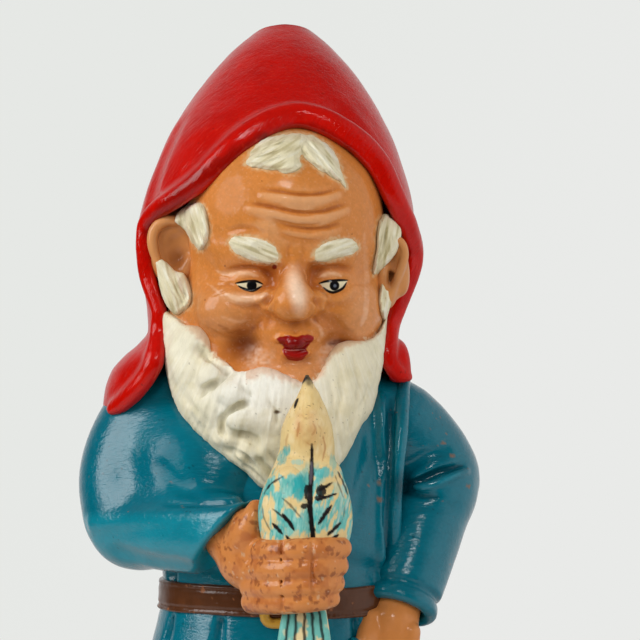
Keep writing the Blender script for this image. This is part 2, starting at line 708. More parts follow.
C_RED, C_REDDARK = c8(192, 10, 0), c8(128, 5, 1)
C_TEAL, C_TEALDARK = c8(0, 104, 122), c8(0, 44, 58)
C_SKIN, C_SKINHI, C_SKINDK = c8(208, 129, 60), c8(226, 166, 110), c8(128, 52, 8)
C_WHITE, C_WHITESH = c8(240, 236, 218), c8(176, 166, 128)
C_CLAY = c8(158, 98, 62)
C_CREAM, C_TURQ, C_BLACK = c8(238, 212, 154), c8(70, 178, 172), c8(26, 20, 20)


def lay(col, mask, c):
    m = np.clip(mask, 0, 1)[:, None]
    col[:, :3] = col[:, :3] * (1 - m) + np.asarray(c)[:3] * m
    return col


def coat_of(n, c):
    return np.concatenate([np.repeat(np.asarray(c, float)[None, :], n, 0), np.ones((n, 1))], 1)


def spot(q, c, r, soft=0.5):
    """Soft oval mark of the drawing: 1 in the middle."""
    d = np.sqrt(((q["a"] - c[0]) / r[0]) ** 2 + ((q["b"] - c[1]) / r[1]) ** 2)
    return 1 - smooth(d, 1 - soft, 1 + soft)


def mark(q, pts, w, soft=1.0, n=5, wob=0.0):
    """A brush line of the drawing, w squares wide."""
    p = curve(pts, n) if len(pts) > 2 else np.array(pts, float)
    d, t, s = lined(p, q["a"], q["b"])
    if wob:
        d = d + wob * noise(q["W"], 1.6, 3.0)
    L = np.sqrt((np.diff(p, axis=0) ** 2).sum(1)).sum()
    ww = w * 0.5 * np.sqrt(np.clip(4 * (t / L) * (1 - t / L) + 0.18, 0, 1))
    return 1 - smooth(d, ww - soft * 0.5, ww + soft * 0.5)


# =====================================================================================================
# Hood (laid out first: its face opening sets the rim)
# =====================================================================================================
HOOD = [(236, -12, 5, 81, 48), (246, -12, 5, 80.5, 49.5), (256, -12, 5, 79.5, 50.5), (266, -11, 5, 77, 52), (274, -9, 4, 72, 53.5),
        (280, -6.5, 4, 67.5, 54.5), (287, -5.4, 4, 63.6, 56), (297, -4.9, 4, 64.3, 57.5), (309, -3.3, 3, 67.9, 60),
        (321, -2.7, 3, 71.2, 61.5), (334, -2.9, 3, 72.3, 62.5), (346, -2.3, 3, 71.0, 63), (359, -1.5, 3.5, 68.2, 62.5),
        (371, -1.2, 5.5, 64.3, 61.5), (384, -0.7, 9, 59.6, 58.5), (396, -0.4, 15, 54.0, 53.5), (408, 0.2, 22, 47.5, 47),
        (420, 0.6, 29, 39.5, 40), (432, 0.8, 36, 30.0, 31.5), (442, 1, 42, 20.5, 22), (448, 1, 45.5, 13, 14), (451.5, 1, 47.5, 6.5, 7)]
hood_out = Stack(HOOD)
# inner edge of the rim, drawing squares, from the figure's right shoulder over the head to the left
RIM = [(118, 415), (137, 399), (151, 383), (160, 366), (163, 348), (164.5, 328), (164, 311), (158, 293), (152, 275),
       (149.5, 257), (148.5, 240), (151, 226), (161, 215), (176, 206.5), (202, 190), (221, 173), (244, 152), (268, 135), (286, 128), (298, 126), (310, 128),
       (328, 135), (354, 152), (371, 171), (383, 194), (393, 213), (402, 230), (409, 250), (408, 270), (398, 296),
       (388, 321), (384, 345), (383.5, 362), (391, 375), (402, 387)]
rim_xz, rim_y = [], []
for a_, b_ in RIM:                       # bring each drawing square to the hood's own surface
    y_ = -40.0
    for _ in range(6):
        p_ = G(a_, b_, y_)
        f_ = float(hood_out.front(p_[0], p_[2])[0])
        y_ = 0.5 * y_ + 0.5 * f_
    p_ = G(a_, b_, y_)
    rim_xz.append((p_[0], p_[2]))
    rim_y.append(y_)
rim_xz, rim_y = np.array(rim_xz), np.array(rim_y)

# the jaw and the beard share one mass: cheeks run into it without a step
JAW = [(203, 6, -50, 6, 5), (206, 5, -48.5, 12.5, 9), (210.7, 4.8, -46, 18.3, 13.5), (216, 4.3, -43, 23.7, 18), (222, 2.2, -39, 30, 23), (230, 0, -34, 37, 28),
       (238, -2.4, -29, 43, 33), (247, -2.6, -24.5, 49.2, 37.2), (258, -3.5, -20.5, 53, 39.5), (272, -3.4, -18, 55.6, 37.5), (282.3, -3.2, -17, 56.6, 35),
       (290, -3.0, -16.5, 57, 33.5), (296.6, -2.9, -16, 56.5, 31.5), (303, -2, -15, 51, 27), (310, -1, -14, 42, 20), (316, 0, -12, 30, 12)]

# =====================================================================================================
# Head
# =====================================================================================================
HC = np.array([1.0, -8.0, 326.0])
HR = rot(z=6.5) @ rot(x=14.0)
h_ = 0.5
hv = Vol((-60, -76, -62), (60, 4, 73), h_, HR, HC)
hv.add(Ell((0, 0, 14), (50, 50, 56)))
hv.add(Ell((0, -12, 27), (44, 38, 35)), 14)
hv.add(Ell((0, -12, -20), (50, 41.5, 37)), 15)
hv.add(Ell((0, -36, -33), (21, 18, 17)), 9)
_X, _Y, _Z = np.meshgrid(*hv.ax, indexing="ij")
_W = hv.world(np.stack([_X, _Y, _Z], -1).reshape(-1, 3)).astype(F)
_j = np.full(len(_W), 30.0, F)
_m = (_W[:, 2] < 318) & (_W[:, 1] < 2)
_j[_m] = smin(Stack(JAW, grow=-1.4)(_W[_m, 0], _W[_m, 1], _W[_m, 2]) * F(0.93), Ell((33, -31, 275), (17, 17, 17))(_W[_m, 0], _W[_m, 1], _W[_m, 2]), 8)
hv.d = smin(hv.d, _j.reshape(hv.n), 7.0).astype(F)
del _X, _Y, _Z, _W, _j, _m
for sx in (-1, 1):
    hv.add(Ell((sx * 26.5, -35, -19), (18, 15.5, 15)), 9)
    hv.add(Tube([(sx * 35, -30.5, 9.5), (sx * 22, -39.5, 11.5), (sx * 9, -43.5, 10)], [7, 7.5, 6.5]), 7)
    hv.cut(Ell((sx * 22, -56.5, -1.5), (15, 11.2, 7.0)), 6)
    hv.cut(Ell((sx * 11.5, -55, -1.0), (5, 9, 8)), 5)
hv.add(Ell((0, -43.5, -27), (21, 14.5, 11)), 6)
# nose
hv.add(Tube([(0, -45, 10), (0, -52, 0), (0, -57, -6)], [5.2, 5.8, 7.2]), 6)
hv.add(Ell((0, -59, -11), (11.3, 10.2, 9.6)), 4)
for sx in (-1, 1):
    hv.add(Ell((sx * 10.8, -52.5, -13.0), (6.2, 8.0, 6.6)), 3)
# eyes: ball, heavy upper lid, bag below
for sx in (-1, 1):
    hv.add(Ell((sx * 20.5, -39.0, -5.6), (11.5, 9.0, 6.6)), 1.2)
hv.d = hv.d.astype(F)

note("head base")
# lids and bags, laid along the drawing
hv.roll([(235, 279), (243, 275.5), (252, 274.5), (260, 276.5), (266, 281)], [2.4, 3.2, 3.4, 3.0, 2.2], 1.6, 1.4)
hv.roll([(316, 281), (323, 276), (334, 274.3), (344, 275), (351, 279)], [2.2, 2.8, 3.2, 3.0, 2.2], 1.5, 1.4)
hv.roll([(226, 291), (238, 297), (251, 299.5), (262, 297), (268, 291)], [2.4, 3.4, 3.8, 3.2, 2.2], 1.8, 1.8)
hv.roll([(316, 291), (324, 297.5), (335, 299.5), (346, 296), (352, 289)], [2.2, 3.0, 3.4, 3.0, 2.2], 1.2, 2.0)
hv.groove([(224, 299), (238, 306), (254, 307.5), (266, 302), (270, 293)], 2.0, 1.2, 1.6)
hv.groove([(318, 301), (332, 306), (346, 304), (355, 297)], 2.0, 0.7, 1.6)
# fold over the lid, under the brow
hv.groove([(226, 272), (236, 269), (250, 267.5), (262, 270), (271, 276)], 1.5, 1.0, 1.2)
hv.groove([(312, 275), (322, 269), (336, 267), (350, 270)], 1.5, 0.9, 1.2)
# crow's feet and temple lines
for ln in ([(211, 268), (219, 273), (230, 276)], [(210, 284), (219, 285), (231, 284)], [(214, 297), (222, 293), (231, 289)],
           [(206, 276), (216, 279), (226, 280)]):
    hv.groove(ln, 1.2, 0.65, 0.9)
for ln in ([(355, 276), (364, 272), (371, 267)], [(355, 283), (365, 283), (374, 280)], [(355, 289), (364, 294), (370, 299)]):
    hv.groove(ln, 1.2, 0.5, 0.9)
# forehead
for ln, dp in (([(262, 190), (276, 192), (300, 195.5), (322, 194.5), (338, 189)], 1.25),
               ([(248, 204), (262, 206), (280, 210), (300, 213.5), (322, 212.5), (346, 205)], 1.35),
               ([(280, 224), (292, 227), (308, 229.5), (324, 229), (338, 225)], 1.2),
               ([(229, 231), (240, 228), (252, 229), (266, 234)], 0.7)):
    hv.groove(ln, 1.7, dp, 1.0)
for ln, hh in (([(264, 195.5), (280, 198), (300, 201), (322, 200), (338, 195)], 1.15),
               ([(250, 210), (266, 213), (284, 217), (302, 220), (324, 218.5), (346, 211)], 1.2),
               ([(282, 230.5), (294, 233.5), (310, 236), (326, 235), (338, 231)], 0.9)):
    hv.roll(ln, 2.6, hh, 2.2)
# frown between the brows, bridge crease
hv.groove([(290, 244), (288.5, 252), (290, 260)], 1.6, 0.7, 1.5)
hv.groove([(303, 246), (304, 254), (302, 262)], 1.6, 0.5, 1.5)
hv.groove([(279, 268), (288, 266), (300, 266), (312, 269)], 2.4, 0.8, 2.5)
# nose wings and nostrils
hv.groove([(272, 298), (266, 303), (264.5, 311), (269, 319.5)], 1.8, 1.7, 1.4)
hv.groove([(312, 298), (318.5, 303), (321, 311), (316, 320)], 1.8, 1.7, 1.4)
hv.groove([(276, 303), (272.5, 309), (275, 316)], 1.5, 0.6, 1.2)
hv.groove([(307, 303), (311.5, 309), (309, 316.5)], 1.5, 0.6, 1.2)
# smile folds: from the nose wings out around the muzzle, deep at the mouth corners
hv.groove([(264, 316), (256, 322), (248, 331), (243, 342), (242, 352)], 4.0, 1.6, 4.0, taper=True)
hv.groove([(322, 317), (332, 323), (341, 332), (347, 341), (350, 347)], 3.2, 1.3, 3.2, taper=True)
hv.dent((243, 344), (8, 6, 7), 0.9, 5.5)
hv.dent((338, 343), (6, 5, 4.0), 1.1, 3.5)
hv.groove([(338, 346), (352, 345.5), (368, 342), (379, 333)], 2.2, 1.3, 1.8)
hv.groove([(246, 341), (234, 341), (221, 335), (210, 325)], 2.6, 1.4, 2.4)
# small fold above the mouth at the left of the smile
hv.groove([(313, 320), (321, 328), (327, 334)], 1.6, 0.7, 1.4)
hv.roll([(309, 321), (318, 328), (325, 333), (321, 340)], 2.4, 0.8, 1.8)
# philtrum
hv.groove([(295, 322), (295, 328), (295.5, 334)], 2.6, 0.8, 2.0)
# lips
hv.lump((296, 347), (10.5, 6.5, 8.5), 1.6, 5)
hv.roll([(277, 339.5), (283, 337.5), (289, 338.5), (294, 341.5)], [1.9, 2.9, 3.3, 3.0], 1.5, 0.9, taper=False)
hv.roll([(298, 341.5), (303, 338), (308.5, 337), (313.5, 338.5)], [3.0, 3.3, 2.9, 1.9], 1.5, 0.9, taper=False)
hv.lump((296, 344.5), (5.0, 3.4, 3.4), 1.8, 1.2)
hv.roll([(285.5, 353.5), (291, 355.5), (296.5, 356.5), (302, 355), (306.5, 352.5)], [2.0, 3.1, 3.5, 3.0, 2.0], 1.9, 1.0, taper=False)
hv.groove([(281, 343.5), (287, 347.5), (296, 349.5), (303, 348), (309.5, 342.5)], 0.9, 0.9, 0.5)
hv.groove([(285, 364), (296, 366.5), (307, 363)], 2.8, 1.1, 2.0)
# chin
hv.lump((297, 373), (12, 8, 7.5), 1.2, 5)
# cheek puffs
hv.lump((222, 318), (13, 9, 9), 0.5, 8)
hv.soften([(238, 350, 40, 24, 1.0), (352, 348, 30, 18, 1.0), (262, 362, 26, 14, 1.0), (330, 362, 22, 14, 1.0)], 3.2)
# temples slightly pressed in
hv.dent((207, 262), (9, 9, 11), 0.7, 6)
hv.dent((366, 258), (7, 9, 11), 0.6, 6)
# hand-modelled unevenness
hv.ripple(lambda W, L: 0.28 * fbm(W, 13.0, 1.0, 2) + 0.05 * noise(W, 2.6, 2.0), 2.5)
hv.keep(Ell((0, -40, 8), (90, 43.5, 110)), 0)       # the back of the head stays inside the hood


# outlines of the brows and of the white hair, drawing squares
BROW_R = [(228.5, 243), (232, 238), (241, 236), (254, 237.5), (266, 241), (275, 247), (279, 255), (277.5, 261), (270, 263.5), (258, 261.5),
          (245, 257.5), (234, 251.5)]
BROW_L = [(314, 256), (315.5, 250.5), (322, 244.5), (333, 240), (345, 238.5), (354, 241), (358.5, 246), (356, 251.5), (347, 255.5), (335, 259),
          (323, 262), (316, 261.5)]
LOCK_A = [(245, 163.5), (250, 154), (258, 143), (270, 137), (284, 134), (299, 133.5), (312, 137), (309, 143), (303, 150), (300, 158), (301.5, 166),
          (297, 171.5), (287, 173.5), (276, 170.5), (264, 168.5), (253, 167.5)]
LOCK_B = [(299, 150), (303, 141), (311, 136), (321, 140), (330, 147), (336, 155), (340, 167), (346.5, 187.5), (340, 182), (331, 176.5), (322, 171.5),
          (312, 164), (305, 157.5)]
TUFT_A = [(174, 221.5), (178, 212), (186, 206), (195, 203), (203, 204.5), (207.5, 218), (209, 232), (206.5, 243), (200.5, 250.5), (194, 245), (188, 234), (181, 227)]
TUFT_B = [(155.5, 262), (162.5, 259.5), (170, 266), (176, 271.5), (184, 273.5), (189, 286), (191.5, 297), (189, 306), (182, 311), (175.5, 314), (167, 306), (160, 290)]
TUFT_C = [(379, 221), (385, 214), (392, 219), (401, 229), (400.5, 240), (397, 252), (390, 261), (382, 269), (373.5, 274.5), (374, 262), (376.5, 248), (377, 234)]
TUFT_D = [(380.5, 281), (387, 284), (393.5, 287.5), (393, 297), (390, 308), (385, 320), (381, 314), (379, 300)]


def paint_face(q):
    n = len(q["a"])
    col = coat_of(n, C_SKIN)
    a, b, hol, W = q["a"], q["b"], q["hol"], q["W"]
    # airbrushed: deeper orange in the hollows, lighter on what stands out
    lay(col, smooth(hol, 0.06, 1.1) * 0.78, c8(146, 66, 12))
    lay(col, smooth(-hol, 0.05, 0.9) * 0.40 * (1 - spot(q, (296, 347), (30, 22), 0.3)), c8(224, 154, 92))
    lay(col, spot(q, (262, 269), (26, 7), 0.8) * 0.40, c8(164, 80, 24))
    lay(col, spot(q, (326, 269), (22, 7), 0.8) * 0.34, c8(164, 80, 24))
    lay(col, spot(q, (294, 283), (7, 13), 0.9) * 0.74, c8(250, 218, 188))
    lay(col, spot(q, (299, 298), (6.5, 13), 0.9) * 0.74, c8(252, 224, 196))
    lay(col, spot(q, (242, 297.5), (20, 4.2), 0.8) * 0.50, c8(240, 192, 150))
    lay(col, spot(q, (240, 273.5), (14, 3.4), 0.8) * 0.42, c8(236, 188, 144))
    lay(col, spot(q, (330, 274.5), (12, 3.0), 0.8) * 0.38, c8(236, 188, 144))
    lay(col, spot(q, (361, 312), (13, 34), 0.9) * 0.38, c8(214, 160, 120))
    lay(col, spot(q, (243, 345), (14, 15), 0.75) * 0.60, c8(112, 44, 4))
    lay(col, spot(q, (247, 344), (10, 7), 0.8) * 0.60, c8(84, 28, 2))
    lay(col, spot(q, (252, 324), (16, 8), 0.8) * 0.35, c8(140, 62, 12))
    lay(col, spot(q, (337, 340), (15, 11), 0.7) * 0.5, c8(122, 50, 6))
    lay(col, spot(q, (362, 344), (20, 6), 0.8) * 0.4, c8(128, 54, 8))
    lay(col, spot(q, (340, 342.5), (13, 3.6), 0.8) * 0.62, c8(98, 36, 4))
    lay(col, spot(q, (330, 322), (11, 9), 0.8) * 0.35, c8(146, 68, 16))
    lay(col, spot(q, (296, 323), (16, 4), 0.8) * 0.25, c8(150, 72, 18))
    lay(col, spot(q, (224, 362), (22, 13), 0.8) * 0.40, c8(160, 82, 22))
    lay(col, spot(q, (275, 275), (9, 10), 0.8) * 0.40, c8(152, 70, 14))
    lay(col, spot(q, (311, 275), (8, 9), 0.8) * 0.30, c8(152, 70, 14))
    lay(col, spot(q, (292, 309), (9, 5), 0.8) * 0.25, c8(170, 84, 30))
    lay(col, spot(q, (206, 345), (14, 26), 0.8) * 0.35, c8(176, 96, 34))
    lay(col, spot(q, (176, 300), (16, 44), 0.8) * 0.30, c8(178, 100, 40))
    # rosy cheeks, pale muzzle
    lay(col, spot(q, (222, 312), (24, 20), 0.9) * 0.28, c8(206, 150, 108))
    lay(col, spot(q, (300, 370), (26, 12), 0.8) * 0.40, c8(204, 146, 104))
    # white airbrush drifting over the skin beside the mouth and along the beard
    lay(col, spot(q, (258, 359), (13, 12), 0.9) * 0.62 * (0.75 + 0.7 * noise(W, 1.3, 4.0)), c8(230, 192, 164))
    lay(col, spot(q, (333, 357), (12, 11), 0.9) * 0.62 * (0.75 + 0.7 * noise(W, 1.3, 4.0)), c8(230, 198, 172))
    edge = polyd(np.array(SKIN_EDGE), a, b)          # negative over the bare face
    lay(col, smooth(edge + 3.2 * noise(W, 1.5, 6.0) + 1.8 * noise(W, 0.7, 2.0), -3.0, 4.0), c8(230, 222, 192))
    col[:, 3] *= 1 - 0.7 * smooth(edge, -6.0, 2.0)
    col[:, 3] *= 1 - 0.85 * spot(q, (240, 353), (26, 16), 0.6)
    col[:, 3] *= 1 - 0.62 * spot(q, (226, 194), (24, 26), 0.8)
    col[:, 3] *= 1 - 0.6 * spot(q, (268, 325), (11, 9), 0.8)
    # sprayed white strays onto the skin round the brows and the hair
    for o, m in ((BROW_R, 0.75), (BROW_L, 0.75), (LOCK_A, 0.7), (LOCK_B, 0.7), (TUFT_A, 0.7), (TUFT_B, 0.7), (TUFT_C, 0.7)):
        d = polyd(curve(o + [o[0]], 3)[:-1], a, b)
        lay(col, (1 - smooth(d + 2.2 * noise(W, 1.2, 8.0) + 1.0 * noise(W, 0.6, 3.0), -2.0, 4.5)) * m, c8(222, 200, 156))
    col[:, :3] *= (1 + 0.07 * noise(W, 0.8, 3.0) + 0.05 * noise(W, 2.0, 5.0))[:, None]
    lay(col, smooth(noise(W, 0.9, 12.0), 0.45, 0.85) * 0.16, c8(236, 196, 156))
    # brush strokes: lights on lids, bags and folds, brown in the creases
    br = 0.75 + 0.5 * noise(W, (2.2, 2.2, 0.9), 14.0)
    for pts, w_, s_, cc in (([(226, 294), (238, 299), (252, 298.5), (267, 294)], 5.5, 0.62, (248, 206, 170)), ([(230, 301), (244, 304), (258, 303)], 3.0, 0.3, (240, 190, 148)),
                            ([(215, 270), (229, 274.5), (244, 272.5), (258, 276)], 3.4, 0.5, (244, 202, 164)), ([(320, 276.5), (330, 273.5), (341, 276)], 3.4, 0.5, (244, 202, 164)),
                            ([(366, 292), (366.5, 308), (361, 325)], 5.5, 0.30, (238, 194, 162)), ([(364, 232), (366, 260), (367, 290), (366, 318)], 5.0, 0.24, (232, 186, 150)),
                            ([(311, 319), (319, 327), (322, 334), (318, 340)], 3.4, 0.32, (242, 200, 166)), ([(222, 317), (236, 321.5), (250, 320)], 3.4, 0.28, (236, 186, 144)),
                            ([(219, 325), (232, 331.5), (247, 331), (261, 325)], 5.0, 0.42, (138, 62, 12)), ([(329, 344), (341, 341.5), (354, 343)], 4.6, 0.70, (92, 34, 4)),
                            ([(206, 283), (214, 288), (222, 296)], 2.4, 0.35, (244, 204, 168)), ([(262, 320), (253, 328), (247, 338)], 3.4, 0.35, (130, 58, 12))):
        lay(col, mark(q, pts, w_, 2.2, 6, 0.8) * s_ * br, c8(*cc))
    lay(col, spot(q, (238, 348), (17, 10), 0.8) * 0.40, c8(112, 46, 6))
    fz = spot(q, (300, 207), (52, 30), 0.6)
    lay(col, fz * smooth(hol, 0.04, 0.5) * 0.55, c8(150, 70, 16))
    lay(col, fz * smooth(-hol, 0.04, 0.45) * 0.40, c8(238, 188, 142))
    # painted eyes
    for (pts_u, pts_l, ic, ir, gl) in EYES:
        up, lw = curve(pts_u, 8), curve(pts_l, 8)
        white = polyd(np.vstack([up, lw[::-1]]), a, b)
        lay(col, 1 - smooth(white, -0.5, 0.6), c8(226, 214, 178))
        iris = np.sqrt((a - ic[0]) ** 2 + ((b - ic[1]) * 0.96) ** 2) - ir
        lay(col, (1 - smooth(iris, -0.5, 0.5)) * (white < 1.2), c8(10, 10, 12))
        if gl:
            lay(col, (1 - smooth(np.sqrt((a - ic[0] - 0.4) ** 2 + (b - ic[1] - 0.2) ** 2), 0.9, 2.2)), c8(98, 106, 118))
        lay(col, mark(q, pts_u, 2.7, 0.9, 8), c8(16, 11, 9))
        lay(col, mark(q, pts_l[1:] if gl else pts_l, 2.8, 0.9, 8), c8(16, 11, 9))
    # lips, dot between the brows
    lip = polyd(curve(LIPS, 4), a, b)
    wob = 0.7 * noise(W, 1.4, 9.0)
    lay(col, 1 - smooth(lip + wob, -0.7, 0.8), c8(146, 14, 8))
    lay(col, spot(q, (296, 344), (11, 6), 0.6) * (lip < 0.5) * 0.6, c8(106, 6, 5))
    lay(col, spot(q, (307, 338), (6, 3), 0.6) * (lip < 0.5) * 0.35, c8(156, 36, 36))
    lay(col, spot(q, (296, 355), (9, 4), 0.6) * (lip < 0.5) * 0.6, c8(168, 16, 8))
    lay(col, mark(q, [(284, 349.6), (292, 350.4), (305, 349.4)], 1.0, 0.8) * (lip < 0.5) * 0.6, c8(224, 150, 138))
    lay(col, 1 - smooth(np.sqrt((a - 274.5) ** 2 + (b - 267) ** 2), 1.8, 3.0), c8(112, 22, 6))
    for (sa, sb, sr) in ((225, 266, 1.0), (205, 300, 0.8), (352, 234, 0.7), (262, 181, 0.7), (318, 262, 0.6)):
        lay(col, (1 - smooth(np.sqrt((a - sa) ** 2 + (b - sb) ** 2), sr * 0.5, sr * 1.4)) * 0.7, c8(112, 50, 16))
    return col


SKIN_EDGE = [(150, 296), (163, 312), (177, 318), (190, 330), (201, 341), (214, 354), (224, 364), (234, 375), (244, 380), (254, 375),
             (262, 370.5), (272, 373), (283, 379), (300, 383), (312, 381), (321, 373), (326, 362), (332, 355), (344, 348), (358, 343), (372, 338),
             (381, 328), (387, 312), (395, 296), (405, 250), (400, 120), (300, 90), (150, 120)]
EYES = [([(235.6, 283.2), (242, 282.0), (249, 281.2), (256, 281.2), (262.6, 284.0)],
         [(238.5, 286.0), (243, 288.4), (248.7, 290.2), (254, 290.4), (261.4, 286.4)], (251.8, 285.5), 5.1, False),
        ([(319.3, 283.4), (325.3, 281.5), (333, 280.6), (340, 280.2), (347.6, 280.2)],
         [(320.5, 284.4), (323.6, 287.6), (328, 291.0), (334, 292.3), (342.3, 288.6), (346.4, 282.8)], (334.5, 285.6), 4.9, True)]
LIPS = [(277, 339), (280, 336.8), (285, 336), (290, 335.6), (296, 336.6), (302, 335.2), (308, 334.6), (312.8, 336.6), (313, 340.5),
        (309, 344.5), (306.5, 348.5), (307.8, 353), (304, 358.2), (297, 361.2), (289, 359.5), (284, 354.5), (282.8, 350), (283.5, 346.5), (279, 342.5)]

head = piece("head_fired", "head", hv, paint_face, M_SKIN, relax=2)
hv_base = hv

# the painted eyes and lips are finer than the clay's own mesh: split the faces there
import bmesh


def refine(obj, boxes, cuts=1):
    me = obj.data
    n = len(me.vertices)
    co = np.zeros(n * 3, F)
    me.vertices.foreach_get("co", co)
    W = co.reshape(-1, 3).astype(float) * 1000
    a, b = proj(W)
    sel = np.zeros(n, bool)
    for x0, y0, x1, y1 in boxes:
        sel |= (a > x0) & (a < x1) & (b > y0) & (b < y1) & (W[:, 1] < -30)
    bm = bmesh.new()
    bm.from_mesh(me)
    bm.verts.ensure_lookup_table()
    es = [e for e in bm.edges if sel[e.verts[0].index] and sel[e.verts[1].index]]
    bmesh.ops.subdivide_edges(bm, edges=es, cuts=cuts, use_grid_fill=True, smooth=0.0)
    bm.to_mesh(me)
    bm.free()
    me.update()


def repaint(obj, vol, paint):
    me = obj.data
    n = len(me.vertices)
    co = np.zeros(n * 3, F)
    me.vertices.foreach_get("co", co)
    W = co.reshape(-1, 3).astype(float) * 1000
    L = vol.local(W)
    N = vol.grad(L) @ vol.R.T
    a, b = proj(W)
    col = paint(dict(W=W.astype(F), N=N, a=a, b=b, hol=vol.hollow_at(L), L=L.astype(F)))
    me.color_attributes["Paint"].data.foreach_set("color", np.clip(col, 0, 1).astype(F).ravel())


refine(head, [(230, 274, 268, 297), (314, 274, 353, 297), (272, 330, 319, 366)], 2)
repaint(head, hv, paint_face)
note("eyes refined")


def grid_world(v):
    X, Y, Z = np.meshgrid(*v.ax, indexing="ij")
    L = np.stack([X, Y, Z], -1).reshape(-1, 3)
    return L, v.world(L)


def band_of(base, outlines, pad=6.0, h=0.45, front=-20.0):
    """A fresh volume (in the base's frame) that holds the outlines' part of the base's surface."""
    ab = np.vstack([np.array(o, float) for o in outlines])
    P, _ = base.snap(ab)
    return Vol(P.min(0) - pad, P.max(0) + pad, h, base.R, base.t)


def pads(name, node, base, locks, paint, mat, h=0.45, pad=6.0, k=1.2, relax=1, under=2.0):
    """Relief pads laid on the base's surface.  A lock: outline, thickness, edge width, spine, strand height, strand width."""
    v = band_of(base, [l[0] for l in locks], pad, h)
    L, W = grid_world(v)
    bd = base.samp(base.local(W)).astype(F)
    near = np.abs(bd) < 9
    a, b = proj(W[near])
    tot = np.full(near.sum(), 30.0, F)
    Wn = W[near].astype(F)
    for (outline, thick, edge, spine, sh, sw) in locks:
        o = curve(list(outline) + [outline[0]], 4)[:-1] if len(outline) > 4 else np.array(outline, float)
        pd = polyd(o, a, b) * 0.5                       # mm
        ds, al, side = lined(curve(spine, 6), a, b)
        coord = np.stack([side / sw, al / (sw * 9.0), 0 * side], 1)
        st = noise(coord, 1.0, 3.0) + 0.5 * noise(coord * np.array([2.1, 2.1, 1], F), 1.0, 8.0)
        pd = pd + 0.35 * st + 0.3 * noise(Wn, 1.6, 4.0)
        T = thick * np.sqrt(np.clip(smooth(-pd, -0.2, edge), 0, 1)) + sh * st * smooth(-pd, 0.0, 1.2)
        d = np.maximum(bd[near] - T, pd * 0.9)
        tot = smin(tot, d, k)
    tot = np.maximum(tot, -(bd[near] + under))
    tot = np.where(Wn[:, 1] > 30, 30, tot)
    full = np.full(len(L), 30.0, F)
    full[near] = tot
    v.d = full.reshape(v.n).astype(F)
    return piece(name, node, v, paint, mat, relax)


def paint_hair(dark=0.6, flow=(90.0,)):
    """White hair; flow: direction of the strands on the drawing, one angle or (angle, a-limit, angle)."""
    def f(q):
        n = len(q["a"])
        col = coat_of(n, c8(226, 217, 184))
        W, hol = q["W"], q["hol"]
        ang = np.full(n, math.radians(flow[0]))
        if len(flow) > 1:
            ang = np.where(q["a"] > flow[1], math.radians(flow[2]), ang)
        al = q["a"] * np.cos(ang) + q["b"] * np.sin(ang)
        ac = -q["a"] * np.sin(ang) + q["b"] * np.cos(ang)
        st = noise(np.stack([ac / 2.6, al / 17.0, 0 * al], 1).astype(F), 1.0, 4.0) + 0.5 * noise(np.stack([ac / 1.3, al / 9.0, 0 * al + 3], 1).astype(F), 1.0, 6.0)
        lay(col, smooth(st, 0.0, 0.8) * 0.7, c8(176, 162, 116))
        lay(col, smooth(-st, 0.1, 0.8) * 0.6, c8(242, 238, 220))
        lay(col, smooth(fbm(W, 7.0, 9.0, 2), 0.05, 0.6) * 0.35, c8(208, 196, 150))
        lay(col, smooth(hol, 0.08, 0.8) * dark, c8(160, 148, 112))
        lay(col, smooth(noise(W, 0.9, 5.0), 0.84, 0.94) * 0.5, c8(132, 112, 80))
        col[:, 3] = 0.75
        return col
    return f


# ------------------------------------------------------------------ brows and hair
pads("brow_right_painted", "eyebrow_right", hv, [(BROW_R, 2.0, 3.4, [(222, 238), (246, 246), (268, 253), (286, 262)], 0.42, 1.9)],
     paint_hair(0.5, (22,)), M_CREAM, h=0.42)
pads("brow_left_painted", "eyebrow_left", hv, [(BROW_L, 1.9, 3.4, [(306, 262), (325, 252), (345, 246), (366, 242)], 0.42, 1.9)],
     paint_hair(0.5, (-20,)), M_CREAM, h=0.42)

pads("forelock_painted", "forelock", hv, [
    (LOCK_A, 3.4, 3.6, [(318, 132), (302, 146), (280, 158), (246, 168)], 0.85, 2.2),
    (LOCK_B, 3.0, 3.4, [(300, 132), (316, 148), (332, 166), (348, 190)], 0.85, 2.2)],
     paint_hair(0.8, (148, 301, 52)), M_CREAM, h=0.42, pad=8)
note("brows and forelock")

